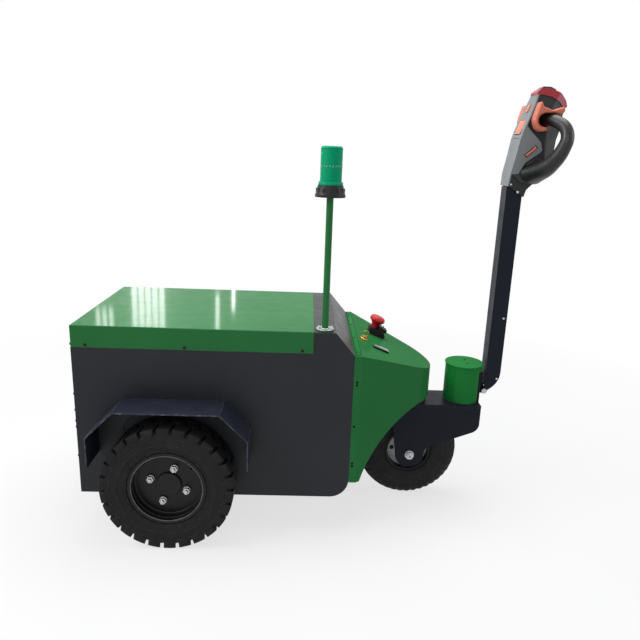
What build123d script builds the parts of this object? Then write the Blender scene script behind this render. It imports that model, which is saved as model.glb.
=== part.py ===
from build123d import *
import math
import os

# Walk-behind electric tow tug: a sheet-metal battery body on two driven rear wheels, a steered
# front wheel in a fork, a sprung tiller with a twin-loop head, and a tow pin at the back.
# Millimetres. While the pieces are made, x runs forward from the rear axle, y to the left and
# z up from the ground; at the end everything moves so that x = 0 is the middle of the tug.

# ---------------------------------------------------------------- running fits and gaps
RUNNING_FIT = 0.05        # radial, shafts that turn in their bores
SEAT_GAP = 0.3            # between curved pieces that are assembled on one another
SHEET = 3.0               # covers, nose and fenders
PLATE = 5.0               # body tub
HEAVY_PLATE = 8.0         # fork and tiller bracket

# ---------------------------------------------------------------- wheels
REAR_TYRE_D = 400.0
REAR_TYRE_W = 98.0
REAR_LUGS = 26            # lugs in each of the two staggered rows
LUG_DEPTH = 11.0
LUG_GROOVE_W = 11.0
LUG_GROOVE_FOOT = 26.0    # grooves run this far down the sidewall
TYRE_SHOULDER_R = 5.0
TYRE_WALL_SET = 6.0       # sidewall's hollow beside the rim
LUG_SKEW = 12.0           # degrees, grooves lean this much from the axle's direction
RIM_BORE_D = 211.0        # inside the rear rim's barrel
RIM_WALL = 3.2
RIM_W = 76.0              # between the rim's two flanges
RIM_FLANGE_D = 235.0
DISC_SET = 9.0            # disc face, outboard of the rear tyre's middle
DISC_T = 6.0
STUD_PCD = 114.3
STUD_COUNT = 4
STUD_TURN = 71.5          # degrees, first stud from the forward direction
STUD_R = 6.0
HUB_CAP_D = 77.0
HUB_FLANGE_D = 150.0
HUB_FLANGE_T = 10.0
HUB_CAP_T = 8.0
PILOT_D = 66.8
AXLE_SHAFT_D = 35.0
STUD_OUT = 20.0           # stud beyond the disc
STUD_NUT_W = 19.0         # across flats

FRONT_TYRE_D = 350.0
FRONT_TYRE_W = 90.0
FRONT_TREAD_FLAT = 30.0
FRONT_TREAD_R = 34.0      # from the flat tread to the shoulder
FRONT_SHOULDER_R = 18.0
FRONT_WALL_R = 24.0
FRONT_WALL_RISE = 42.0    # bead to the sidewall's widest place
FRONT_BEAD_R = 6.0
FRONT_RIM_D = 160.0
FRONT_RIM_W = 64.0        # between its two flanges
FRONT_RIM_LIP = 3.0       # flange thickness
FRONT_RIM_DEPTH = 4.0     # bead seat below the flange
FRONT_DISH = 21.0         # disc behind the sidewall
FRONT_DISH_R = 4.0
FRONT_HUB_D = 60.0
FRONT_AXLE_D = 16.0
FRONT_AXLE_OUT = 15.0     # axle bolt beyond the fork's cheek
FRONT_WASHER_D = 32.0
FRONT_NUT_W = 24.0        # across flats
NUT_T = 10.0              # wheel nuts and axle nuts
WASHER_T = 2.0

# ---------------------------------------------------------------- body
WHEELBASE = 780.0
REAR_OVERHANG = 293.0     # rear axle to the body's back face
BODY_W = 540.0
BODY_BOTTOM = 126.0       # ground clearance
SEAM_Z = 607.0            # joint between tub and battery cover
COVER_H = 67.0
BULKHEAD_GAP = 47.0       # front wheel's swing circle to the bulkhead
BELLY_RADIUS = 60.0       # lower front corner of the tub
COWL_REACH = 124.0        # cowl's length in front of the battery cover
COWL_FLAT = 65.0          # its level part
COWL_DROP = 70.0          # height lost over its sloped part
LIP_RISE = 20.0           # tub's inner lip inside the cover
LIP_DEPTH = 25.0
TAB_REACH = 14.0          # tabs on the bulkhead that carry the nose

# ---------------------------------------------------------------- nose cover
NOSE_FLANGE = 22.0        # straight strip before the nose turns inwards
NOSE_R = 160.0            # its round front
NOSE_OVERHANG = 58.0      # kingpin to the tip
NOSE_SLOPE = 21.8         # degrees
NOSE_LIFT = 28.0          # nose's lower edge above the fork
NOSE_SKIRT_BOTTOM = 178.0
ARCH_R = 340.0            # arch over the front wheel
ARCH_AHEAD = 131.0        # its centre, ahead of the front axle
ARCH_BELOW = 100.0        # and below it

# ---------------------------------------------------------------- drive and battery
CASING_R = 60.0
CASING_W = 150.0
AXLE_TUBE_D = 70.0
HUB_GAP = 5.0             # hub to axle tube
HUB_NECK_L = 21.0         # hub's neck between flange and axle tube
MOTOR_D = 150.0
MOTOR_H = 180.0
BATTERY_GAP = 17.0        # motor to battery
BATTERY_H = 300.0
BATTERY_SIDE_GAP = 20.0
HATCH_L = 200.0           # opening in the floor below the drive casing
HATCH_W = 380.0

# ---------------------------------------------------------------- fenders
TYRE_BODY_GAP = 9.0
FENDER_LIP = 5.0          # fender beyond the tyre
FENDER_END_GAP = 36.5     # tyre to the fender's upright ends
FENDER_TOP_GAP = 48.0
FENDER_BEVEL = 82.0
FENDER_SHIFT = 7.0        # fender's middle ahead of the axle
FENDER_LEG_Z = 271.0

# ---------------------------------------------------------------- fork, wheel arch to tiller
TYRE_CROWN_GAP = 8.0      # front tyre to the fork's top plate
FORK_W = 138.0
FORK_REAR = 75.0          # top plate behind the kingpin
CHEEK_BOSS_R = 45.0
CHEEK_HEEL = 9.0          # cheek's rear corner behind its boss
CHEEK_HEEL_R = 30.0
FORK_CHIN_R = 35.0
FORK_CHIN_Z = 98.6        # lower front corner above the front axle
FORK_THROAT_X = 52.0      # inner corner, ahead of the front axle
FORK_THROAT_Z = 28.0
FORK_THROAT_R = 25.0
CHIN_PLATE_L = 50.0
KINGPIN_D = 50.0
KINGPIN_FLANGE_D = 110.0
KINGPIN_FLANGE_T = 12.0
KINGPIN_NUT_D = 70.0
KINGPIN_END = 4.0         # pin beyond its nut
STEER_HOUSING_D = 90.0
STEER_HOUSING_H = 68.0
BEAM_W = 100.0
BEAM_H = 44.0
BEAM_T = 6.0
BEAM_FOOT_W = 220.0
BEAM_FOOT_H = 120.0

DRUM_X = 180.0            # drum's middle ahead of the kingpin
DRUM_R = 66.0             # its lid
DRUM_STEP = 3.0           # lid beyond the drum's wall
DRUM_H = 137.0
DRUM_WALL = 4.0
DRUM_FLAT = 44.0          # flat front, from the drum's middle
DRUM_BROW = 25.0          # full-round height kept above the flat
LID_T = 4.0

# ---------------------------------------------------------------- tiller
ARM_GAP = 5.5             # drum to arm
ARM_DEPTH = 52.0
ARM_W = 54.0
ARM_WALL = 4.0
ARM_FOOT_Z = 74.0         # corner of the arm's front and its slanting underside, above the fork
ARM_FOOT_R = 75.0         # that corner's radius
ARM_FOOT_SLOPE = 38.0     # degrees, underside above the horizontal
ARM_TOP = 1106.0          # shoulder on which the head seats
TENON_L = 44.0            # slimmer end of the arm inside the head
TENON_SET = 10.0
PIVOT_SET = 1.0           # pivot ahead of the arm's rear face
PIVOT_Z = 40.0            # pivot above the fork
PIVOT_D = 12.0
PIN_HEAD_T = 3.0
ARM_HEEL_R = 10.0         # arm's boss round the pivot
FOOT_OPEN_X = 20.0        # arm's open underside, ahead of the pivot
FOOT_OPEN_Z = 22.0        # its open rear, above the pivot
BRACKET_T = 12.0
BRACKET_W = 68.0
BRACKET_H = 104.0
WEB_CLEAR = 5.5           # bracket's web to the arm
LUG_W = 33.0
LUG_R = 11.0
HEAD_H = 300.0            # tiller head above the arm's shoulder
HEAD_W = 88.0
HEAD_TIP_W = 30.0         # across its front tip
HEAD_TAPER = 100.0        # where it starts to narrow, ahead of the arm's rear face
HEAD_REACH = 160.0        # its front tip
PANEL_T = 4.0
GRIP_D = 36.0
THROTTLE_T = 40.0         # how far the paddles stand out
THROTTLE_HUB_W = 6.0
THROTTLE_HUB_R = 24.0
GRIP_CLEAR = 2.0          # throttle paddle round the grip
BUMPER_PROUD = 2.0        # bumper beyond the sides of the head
CREST_W = 36.0            # raised rib along the bumper's top

# ---------------------------------------------------------------- nose instruments, beacon
ESTOP_AHEAD = 61.0        # button's axis, ahead of the nose's bend
ESTOP_Y = 70.0
ESTOP_D = 55.0
ESTOP_H = 68.0            # top of the button above the nose
ESTOP_CAP_T = 20.0
ESTOP_STEM_D = 26.0
ESTOP_BASE_REAR = 14.0    # switch block behind and ahead of the button's axis
ESTOP_BASE_FRONT = 46.0
ESTOP_BASE_W = 40.0
ESTOP_BASE_H = 22.0
ESTOP_BLOCK_H = 38.0      # its raised part, ahead of the stem
KEY_AHEAD = 23.0
KEY_Y = -55.0
KEY_D = 28.0
KEY_RING_T = 5.0
KEY_BOW_W = 20.0
KEY_BOW_H = 21.0
METER_AHEAD = 75.0
METER_Y = -100.0
METER_L = 56.0
METER_W = 28.0
METER_H = 6.0
POLE_AHEAD = 32.0         # ahead of the cowl's rear edge
POLE_INSET = 32.0         # in from the body's side
POLE_D = 20.0
POLE_H = 394.0
POLE_FLANGE_D = 54.0
POLE_FLANGE_T = 5.0
BEACON_BASE_D = 88.0
BEACON_NECK_D = 72.0
BEACON_BASE_H = 34.0
BEACON_RIM_H = 8.0
LENS_D = 63.0
LENS_H = 107.0
LENS_COLLAR_W = 4.0       # its foot beyond the lens
LENS_COLLAR_H = 9.0

# ---------------------------------------------------------------- tow hitch
HITCH_Z = 300.0           # underside of the shelf
HITCH_PLATE_W = 160.0
HITCH_PLATE_H = 150.0
HITCH_T = 12.0
SHELF_L = 88.0
SHELF_W = 90.0
SHELF_EDGE = 4.0          # shelf's round end to the tow pin's middle, beyond its corner radius
GUSSET_SHARE = 0.6        # of the shelf's length
GUSSET_DROP = 0.42        # of the plate's height
GUSSET_T = 8.0
GUSSET_SET = 6.0          # in from the shelf's sides
TOW_PIN_D = 25.0
TOW_PIN_FREE = 62.0       # free length above its collar
TOW_PIN_COLLAR_D = 50.0
TOW_PIN_COLLAR_T = 8.0
TOW_PIN_CHAMFER = 4.0
TOW_NUT_W = 38.0          # across flats
TOW_NUT_T = 16.0
TOW_PIN_END = 4.0         # pin below its nut

# ---------------------------------------------------------------- places that follow
REAR_AXLE_Z = REAR_TYRE_D / 2
FRONT_AXLE_Z = FRONT_TYRE_D / 2
SIDE_Y = BODY_W / 2
REAR_WHEEL_Y = SIDE_Y + TYRE_BODY_GAP + REAR_TYRE_W / 2
BACK_X = -REAR_OVERHANG
SWING_R = math.hypot(FRONT_TYRE_D / 2, FRONT_TYRE_W / 2)
FRONT_X = WHEELBASE - SWING_R - BULKHEAD_GAP
COVER_FRONT_X = FRONT_X - COWL_REACH
COVER_TOP_Z = SEAM_Z + COVER_H
COWL_TOP_Z = COVER_TOP_Z - 1.0
COWL_LOW_Z = COWL_TOP_Z - COWL_DROP
NOSE_TOP_Z = COWL_LOW_Z - 1.0
NOSE_BEND_X = FRONT_X + NOSE_FLANGE
NOSE_TIP_X = WHEELBASE + NOSE_OVERHANG
FORK_TOP_Z = FRONT_TYRE_D + TYRE_CROWN_GAP + HEAVY_PLATE
CHEEK_TOP_Z = FORK_TOP_Z - HEAVY_PLATE
CHEEK_IN_Y = FORK_W / 2 - HEAVY_PLATE
DRUM_CENTRE_X = WHEELBASE + DRUM_X
DRUM_TOP_Z = FORK_TOP_Z + DRUM_H
FLAT_X = DRUM_CENTRE_X + DRUM_FLAT
BRACKET_X = FLAT_X + BRACKET_T
FORK_FRONT_X = BRACKET_X  # the fork ends flush with the tiller's bracket
ARM_REAR_X = DRUM_CENTRE_X + DRUM_R + ARM_GAP
ARM_FRONT_X = ARM_REAR_X + ARM_DEPTH
PIVOT_X = ARM_REAR_X + PIVOT_SET
PIVOT_HEIGHT = FORK_TOP_Z + PIVOT_Z


# ---------------------------------------------------------------- drawing helpers
def corner_arcs(corners, closed):
    """Edges through (point, radius) corners, each rounded by a tangent arc."""
    count = len(corners)
    spots = []
    for i, (point, radius) in enumerate(corners):
        at_end = not closed and i in (0, count - 1)
        if radius == 0 or at_end:
            spots.append((point, None, point))
            continue
        back = (corners[i - 1][0] - point).normalized()
        ahead = (corners[(i + 1) % count][0] - point).normalized()
        half = math.radians(back.get_angle(ahead)) / 2
        reach = radius / math.tan(half)
        middle = point + (back + ahead).normalized() * (radius / math.sin(half) - radius)
        spots.append((point + back * reach, middle, point + ahead * reach))
    edges = []
    for i, (start, middle, end) in enumerate(spots):
        if middle is not None:
            edges.append(ThreePointArc(start, middle, end))
        if closed or i < count - 1:
            follower = spots[(i + 1) % count][0]
            if (follower - end).length > 1e-4:
                edges.append(Line(end, follower))
    return edges


def outline(*rows):
    """Closed face from rows of (u, v) or (u, v, corner radius)."""
    corners = [(Vector(row[0], row[1]), row[2] if len(row) > 2 else 0) for row in rows]
    return make_face(corner_arcs(corners, closed=True))


def prism_y(face, y_low, y_high):
    """Solid from a face drawn in (x, z), between two y values."""
    return Pos(0, y_high, 0) * extrude(Plane.XZ * face, amount=y_high - y_low)


def block(x0, x1, y0, y1, z0, z1):
    """Box between two corners."""
    middle = Pos((x0 + x1) / 2, (y0 + y1) / 2, (z0 + z1) / 2)
    return middle * Box(x1 - x0, y1 - y0, z1 - z0)


def disc_z(x, y, z0, z1, radius):
    """Upright cylinder."""
    return Pos(x, y, (z0 + z1) / 2) * Cylinder(radius, z1 - z0)


def disc_y(x, z, y0, y1, radius):
    """Cylinder along y."""
    return Pos(x, (y0 + y1) / 2, z) * Rot(90, 0, 0) * Cylinder(radius, y1 - y0)


def nut_y(y, washer_d, across):
    """Washer and hexagon nut about the y axis, seated at y and facing +y."""
    nut = extrude(Plane.XZ * RegularPolygon(across / 2, 6, major_radius=False), amount=-NUT_T)
    return disc_y(0, 0, y, y + WASHER_T, washer_d / 2) + Pos(0, y + WASHER_T, 0) * nut


def turned_y(face):
    """Revolve a face drawn in (radius, y) about the y axis."""
    return revolve(face, axis=Axis.Y, revolution_arc=360)


def turned_z(face):
    """Revolve a face drawn in (radius, z) about the z axis."""
    return revolve(Plane.XZ * face, axis=Axis.Z, revolution_arc=360)


def around_y(piece, count, turn=0.0):
    """Copies of a piece spaced round the y axis."""
    return [Rot(0, turn + 360 * i / count, 0) * piece for i in range(count)]


def both_sides(piece):
    """A piece and its mirror image across y = 0."""
    return piece + mirror(piece, about=Plane.XZ)


# ---------------------------------------------------------------- body
def cowl_lines(depth):
    """Cowl's top line, from its rear edge to its front edge, set in by a depth."""
    run = COWL_REACH - COWL_FLAT
    slope = math.hypot(run, COWL_DROP)
    lean_x, lean_z = COWL_DROP / slope, run / slope
    knee_x = COVER_FRONT_X + COWL_FLAT - depth * (1 - lean_z) / lean_x
    return [(COVER_FRONT_X, COWL_TOP_Z - depth), (knee_x, COWL_TOP_Z - depth),
            (FRONT_X, COWL_LOW_Z - depth / lean_z)]


def chassis_tub():
    """Welded tub: floor, sides, back, bulkhead, cover lip and the tabs that carry the nose."""
    rear_top, knee, front_top = cowl_lines(SHEET)
    shape = prism_y(outline((BACK_X, BODY_BOTTOM), (FRONT_X, BODY_BOTTOM, BELLY_RADIUS), front_top,
                            knee, rear_top, (COVER_FRONT_X, SEAM_Z), (BACK_X, SEAM_Z)), -SIDE_Y, SIDE_Y)
    hollow = outline((BACK_X + PLATE, BODY_BOTTOM + PLATE),
                     (FRONT_X - PLATE, BODY_BOTTOM + PLATE, BELLY_RADIUS - PLATE),
                     (FRONT_X - PLATE, COVER_TOP_Z), (BACK_X + PLATE, COVER_TOP_Z))
    tub = shape - prism_y(hollow, PLATE - SIDE_Y, SIDE_Y - PLATE)
    tub -= block(-HATCH_L / 2, HATCH_L / 2, -HATCH_W / 2, HATCH_W / 2, 0, BODY_BOTTOM + PLATE)
    tub -= disc_y(0, REAR_AXLE_Z, -BODY_W, BODY_W, AXLE_TUBE_D / 2 + SEAT_GAP)
    return tub + cover_lip() + nose_tabs()


def cover_lip():
    """Ring inside the battery cover's skirt that locates it and takes its screws."""
    edge = SHEET + SEAT_GAP
    z0, z1 = SEAM_Z - LIP_DEPTH, SEAM_Z + LIP_RISE
    ring = block(BACK_X + edge, COVER_FRONT_X - edge, edge - SIDE_Y, SIDE_Y - edge, z0, z1)
    inner = edge + PLATE
    return ring - block(BACK_X + inner, COVER_FRONT_X - inner, inner - SIDE_Y, SIDE_Y - inner, z0, z1)


def nose_tabs():
    """Forward tabs on the bulkhead, inside the nose cover's edges."""
    edge = SHEET + SEAT_GAP
    top = NOSE_TOP_Z - edge
    x1 = FRONT_X + TAB_REACH
    side = block(FRONT_X - PLATE, x1, SIDE_Y - edge - PLATE, SIDE_Y - edge,
                 NOSE_SKIRT_BOTTOM + LIP_DEPTH, top - PLATE)
    lid = block(FRONT_X, x1, edge - SIDE_Y, SIDE_Y - edge, top - PLATE, top)
    return both_sides(side) + lid


def cowl_cap():
    """Bent plate that closes the tub between battery cover and nose."""
    top, low = cowl_lines(0), cowl_lines(SHEET)
    return prism_y(outline(*top, *reversed(low)), -SIDE_Y, SIDE_Y)


def battery_cover():
    """Folded cover with a skirt, open below."""
    cover = block(BACK_X, COVER_FRONT_X, -SIDE_Y, SIDE_Y, SEAM_Z, COVER_TOP_Z)
    rims = cover.edges().filter_by(Axis.Z) + cover.faces().sort_by(Axis.Z)[-1].edges()
    cover = fillet(rims, SHEET)
    return cover - block(BACK_X + SHEET, COVER_FRONT_X - SHEET, SHEET - SIDE_Y, SIDE_Y - SHEET,
                         SEAM_Z, COVER_TOP_Z - SHEET)


def nose_plan():
    """Nose cover from above: parallel strips, inward walls and a round front."""
    centre = Vector(NOSE_TIP_X - NOSE_R, 0)
    bend = Vector(NOSE_BEND_X, SIDE_Y)
    reach = (bend - centre).length
    along = math.atan2(bend.Y, bend.X - centre.X)
    touch_angle = along - math.acos(NOSE_R / reach)
    touch = centre + Vector(math.cos(touch_angle), math.sin(touch_angle)) * NOSE_R
    start = Vector(FRONT_X - NOSE_FLANGE, SIDE_Y)
    walls = [Line(start, bend), Line(bend, touch),
             ThreePointArc(touch, Vector(NOSE_TIP_X, 0), Vector(touch.X, -touch.Y)),
             Line((touch.X, -touch.Y), (bend.X, -bend.Y)), Line((bend.X, -bend.Y), (start.X, -start.Y)),
             Line((start.X, -start.Y), start)]
    return make_face(walls)


def nose_top(x):
    """Height of the nose cover's sloped top at x."""
    return NOSE_TOP_Z - math.tan(math.radians(NOSE_SLOPE)) * max(0.0, x - NOSE_BEND_X)


def nose_side(drop):
    """Nose cover from the side, its top lowered by a depth."""
    far = NOSE_TIP_X + NOSE_R
    low = -NOSE_R
    lean = math.cos(math.radians(NOSE_SLOPE))
    shift = drop * math.tan(math.radians(NOSE_SLOPE / 2))
    return outline((BACK_X, low), (far, low), (far, nose_top(far) - drop / lean),
                   (NOSE_BEND_X - shift, NOSE_TOP_Z - drop), (BACK_X, NOSE_TOP_Z - drop))


def nose_opening():
    """Everything below the nose cover's lower edge: wheel arch and level front."""
    far = NOSE_TIP_X + NOSE_R
    edge_z = FORK_TOP_Z + NOSE_LIFT
    arch = disc_y(WHEELBASE + ARCH_AHEAD, FRONT_AXLE_Z - ARCH_BELOW, -BODY_W, BODY_W, ARCH_R)
    arch &= block(BACK_X, far, -BODY_W, BODY_W, -BODY_W, edge_z)
    rise = edge_z - FRONT_AXLE_Z + ARCH_BELOW
    meet_x = WHEELBASE + ARCH_AHEAD - math.sqrt(ARCH_R ** 2 - rise ** 2)
    front = block(meet_x, far, -BODY_W, BODY_W, NOSE_SKIRT_BOTTOM, edge_z)
    return arch + front + block(BACK_X, far, -BODY_W, BODY_W, -BODY_W, NOSE_SKIRT_BOTTOM)


def nose_cover():
    """Sheet cover over the steering, arched over the front wheel."""
    tall = COVER_TOP_Z
    outer = extrude(nose_plan(), amount=tall) & prism_y(nose_side(0), -BODY_W, BODY_W)
    plan = offset(nose_plan(), amount=-SHEET, kind=Kind.INTERSECTION)
    inner = extrude(plan, amount=tall) & prism_y(nose_side(SHEET), -BODY_W, BODY_W)
    shell = outer - inner - nose_opening()
    return shell - block(BACK_X, FRONT_X + SEAT_GAP, -BODY_W, BODY_W, 0, tall)


def fender(side):
    """Bent strip over a rear wheel, welded to the body's side."""
    half = REAR_TYRE_D / 2 + FENDER_END_GAP
    top = REAR_TYRE_D + FENDER_TOP_GAP
    k = SHEET * math.tan(math.radians(22.5))
    low = FENDER_LEG_Z
    outer = [(-half, low), (-half, top - FENDER_BEVEL), (FENDER_BEVEL - half, top),
             (half - FENDER_BEVEL, top), (half, top - FENDER_BEVEL), (half, low)]
    inner = [(half - SHEET, low), (half - SHEET, top - FENDER_BEVEL - k),
             (half - FENDER_BEVEL - k, top - SHEET), (FENDER_BEVEL - half + k, top - SHEET),
             (SHEET - half, top - FENDER_BEVEL - k), (SHEET - half, low)]
    width = TYRE_BODY_GAP + REAR_TYRE_W + FENDER_LIP
    strip = Pos(FENDER_SHIFT, 0, 0) * prism_y(outline(*outer, *inner), SIDE_Y, SIDE_Y + width)
    return strip if side > 0 else mirror(strip, about=Plane.XZ)


# ---------------------------------------------------------------- drive and battery
def axle_housing():
    """Drive casing with its two axle tubes."""
    reach = REAR_WHEEL_Y + DISC_SET - DISC_T - HUB_FLANGE_T - HUB_GAP - HUB_NECK_L
    casing = disc_y(0, REAR_AXLE_Z, -CASING_W / 2, CASING_W / 2, CASING_R)
    pad = block(-CASING_R, CASING_R, -CASING_W / 2, CASING_W / 2, REAR_AXLE_Z, REAR_AXLE_Z + CASING_R + PLATE)
    tubes = disc_y(0, REAR_AXLE_Z, -reach, reach, AXLE_TUBE_D / 2)
    bore = disc_y(0, REAR_AXLE_Z, -reach, reach, AXLE_SHAFT_D / 2 + RUNNING_FIT)
    core = disc_y(0, REAR_AXLE_Z, -CASING_W / 2, CASING_W / 2, AXLE_TUBE_D / 2)
    return casing + pad + tubes - (bore - core)


def drive_motor():
    """Upright motor on the drive casing."""
    foot = REAR_AXLE_Z + CASING_R + PLATE
    motor = disc_z(0, 0, foot, foot + MOTOR_H, MOTOR_D / 2)
    return chamfer(motor.edges().sort_by(Axis.Z)[-1], HEAVY_PLATE)


def battery_pack():
    """Traction battery on the tub's floor, between the motor and the tub's rounded front."""
    half = SIDE_Y - PLATE - BATTERY_SIDE_GAP
    floor = BODY_BOTTOM + PLATE
    return block(MOTOR_D / 2 + BATTERY_GAP, FRONT_X - BELLY_RADIUS, -half, half, floor, floor + BATTERY_H)


# ---------------------------------------------------------------- rear wheels
def lug_groove():
    """Open end of one tread groove, from the tyre's middle out and down its sidewall."""
    r, half = REAR_TYRE_D / 2, REAR_TYRE_W / 2
    face = outline((r + LUG_DEPTH, 0), (r - LUG_DEPTH, 0), (r - LUG_DEPTH, half - LUG_DEPTH),
                   (r - LUG_GROOVE_FOOT, half + PLATE), (r + LUG_DEPTH, half + PLATE))
    return extrude(face, amount=LUG_GROOVE_W / 2, both=True)


def rear_tyre():
    """Solid traction tyre with two staggered rows of shoulder lugs."""
    r, half = REAR_TYRE_D / 2, REAR_TYRE_W / 2
    bead = RIM_BORE_D / 2 + RIM_WALL + SEAT_GAP
    seat = RIM_W / 2 - SEAT_GAP
    lip = RIM_FLANGE_D / 2 + RIM_WALL
    bulge = lip + LUG_GROOVE_FOOT
    side = [(bead, seat), (lip, seat), (lip, half - TYRE_WALL_SET, WASHER_T),
            (bulge, half, LUG_GROOVE_FOOT / 2), (r, half, TYRE_SHOULDER_R)]
    section = outline(*side, *[(row[0], -row[1], *row[2:]) for row in reversed(side)])
    spot = Pos(r, half / 2, 0)
    groove = spot * Rot(LUG_SKEW, 0, 0) * spot.inverse() * lug_groove()
    left = around_y(groove, REAR_LUGS)
    right = around_y(mirror(groove, about=Plane.XZ), REAR_LUGS, 180 / REAR_LUGS)
    return turned_y(section) - (left + right)


def rear_rim():
    """Pressed rim: barrel, two flanges and a bolted disc."""
    bore, half = RIM_BORE_D / 2, RIM_W / 2
    barrel = bore + RIM_WALL
    flange = RIM_FLANGE_D / 2
    top = half + RIM_WALL
    section = outline(
        (PILOT_D / 2 + SEAT_GAP, DISC_SET - DISC_T), (bore, DISC_SET - DISC_T), (bore, -top), (flange, -top),
        (flange, -half), (barrel, -half), (barrel, half), (flange, half), (flange, top), (bore, top),
        (bore, DISC_SET), (PILOT_D / 2 + SEAT_GAP, DISC_SET))
    hole = disc_y(STUD_PCD / 2, 0, DISC_SET - 2 * DISC_T, DISC_SET + DISC_T, STUD_R + SEAT_GAP)
    return turned_y(section) - around_y(hole, STUD_COUNT, -STUD_TURN)


def rear_hub():
    """Driven hub: shaft, flange, studs with nuts, and the centre cap."""
    back = DISC_SET - DISC_T
    inner = back - HUB_FLANGE_T - HUB_NECK_L
    face = DISC_SET
    shaft_len = REAR_WHEEL_Y + inner - CASING_W / 2 - HUB_GAP
    hub = disc_y(0, 0, back - HUB_FLANGE_T, back, HUB_FLANGE_D / 2)
    hub += disc_y(0, 0, inner, back, AXLE_TUBE_D / 2)
    hub += disc_y(0, 0, inner - shaft_len, inner, AXLE_SHAFT_D / 2)
    hub += disc_y(0, 0, back, face, PILOT_D / 2)
    cap = disc_y(0, 0, face, face + HUB_CAP_T, HUB_CAP_D / 2)
    hub += fillet(cap.edges().sort_by(Axis.Y)[-1], SHEET)
    stud = disc_y(0, 0, back, face + STUD_OUT, STUD_R)
    stud += nut_y(face, 4 * STUD_R, STUD_NUT_W)
    return hub + around_y(Pos(STUD_PCD / 2, 0, 0) * stud, STUD_COUNT, -STUD_TURN)


def rear_wheel_place(piece, side):
    """Put a left wheel's piece, made round the origin, on its side of the axle."""
    placed = Pos(0, REAR_WHEEL_Y, REAR_AXLE_Z) * piece
    return placed if side > 0 else mirror(placed, about=Plane.XZ)


# ---------------------------------------------------------------- front wheel and fork
def front_tyre():
    """Small pneumatic tyre with a rounded tread."""
    r, half = FRONT_TYRE_D / 2, FRONT_TYRE_W / 2
    bead = FRONT_RIM_D / 2 - FRONT_RIM_DEPTH + SEAT_GAP
    lip = FRONT_RIM_D / 2 + SEAT_GAP
    seat = FRONT_RIM_W / 2 - SEAT_GAP
    side = [(bead, seat), (lip, seat), (lip, half - FRONT_BEAD_R, FRONT_RIM_LIP),
            (bead + FRONT_WALL_RISE, half, FRONT_WALL_R),
            (r - FRONT_SHOULDER_R, half - FRONT_RIM_LIP, FRONT_SHOULDER_R),
            (r, FRONT_TREAD_FLAT / 2, FRONT_TREAD_R)]
    section = outline(*side, *[(row[0], -row[1], *row[2:]) for row in reversed(side)])
    return Pos(WHEELBASE, 0, FRONT_AXLE_Z) * turned_y(section)


def front_rim():
    """Pressed steel rim with dished discs on a plain-bearing hub."""
    flange, half = FRONT_RIM_D / 2, FRONT_RIM_W / 2
    seat = flange - FRONT_RIM_DEPTH
    well = seat - FRONT_RIM_LIP
    dish = FRONT_TYRE_W / 2 - FRONT_DISH
    bore = FRONT_AXLE_D / 2 + RUNNING_FIT
    hub_half = CHEEK_IN_Y - HUB_GAP
    side = [(bore, hub_half), (FRONT_HUB_D / 2, hub_half), (FRONT_HUB_D / 2, dish), (well, dish, FRONT_DISH_R),
            (well, half + FRONT_RIM_LIP), (flange, half + FRONT_RIM_LIP), (flange, half), (seat, half)]
    section = outline(*side, *[(row[0], -row[1], *row[2:]) for row in reversed(side)])
    return Pos(WHEELBASE, 0, FRONT_AXLE_Z) * turned_y(section)


def front_axle():
    """Bolt through fork and wheel, with a washer and nut on each side."""
    out = FORK_W / 2
    end = out + FRONT_AXLE_OUT
    shaft = disc_y(0, 0, -end, end, FRONT_AXLE_D / 2)
    nuts = both_sides(nut_y(out, FRONT_WASHER_D, FRONT_NUT_W))
    return Pos(WHEELBASE, 0, FRONT_AXLE_Z) * (shaft + nuts)


def chin_line(x):
    """Height of the fork's lower edge at x."""
    corner_z = FRONT_AXLE_Z + FORK_CHIN_Z
    throat_x, throat_z = WHEELBASE + FORK_THROAT_X, FRONT_AXLE_Z + FORK_THROAT_Z
    return corner_z + (x - FORK_FRONT_X) * (corner_z - throat_z) / (FORK_FRONT_X - throat_x)


def fork_cheek(side):
    """Side plate of the fork, from the goose neck down to the axle boss."""
    b = CHEEK_BOSS_R
    face = outline(
        (WHEELBASE - FORK_REAR, CHEEK_TOP_Z), (FORK_FRONT_X, CHEEK_TOP_Z),
        (FORK_FRONT_X, FRONT_AXLE_Z + FORK_CHIN_Z, FORK_CHIN_R),
        (WHEELBASE + FORK_THROAT_X, FRONT_AXLE_Z + FORK_THROAT_Z, FORK_THROAT_R),
        (WHEELBASE + b, FRONT_AXLE_Z - b, b), (WHEELBASE - b, FRONT_AXLE_Z - b, b),
        (WHEELBASE - b - CHEEK_HEEL, FRONT_AXLE_Z + CHEEK_HEEL_R, CHEEK_HEEL_R))
    cheek = prism_y(face, CHEEK_IN_Y, FORK_W / 2)
    cheek -= disc_y(WHEELBASE, FRONT_AXLE_Z, 0, FORK_W, FRONT_AXLE_D / 2 + RUNNING_FIT)
    return cheek if side > 0 else mirror(cheek, about=Plane.XZ)


def fork_top_plate():
    """Top plate over both cheeks."""
    return block(WHEELBASE - FORK_REAR, FORK_FRONT_X, -FORK_W / 2, FORK_W / 2, CHEEK_TOP_Z, FORK_TOP_Z)


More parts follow.
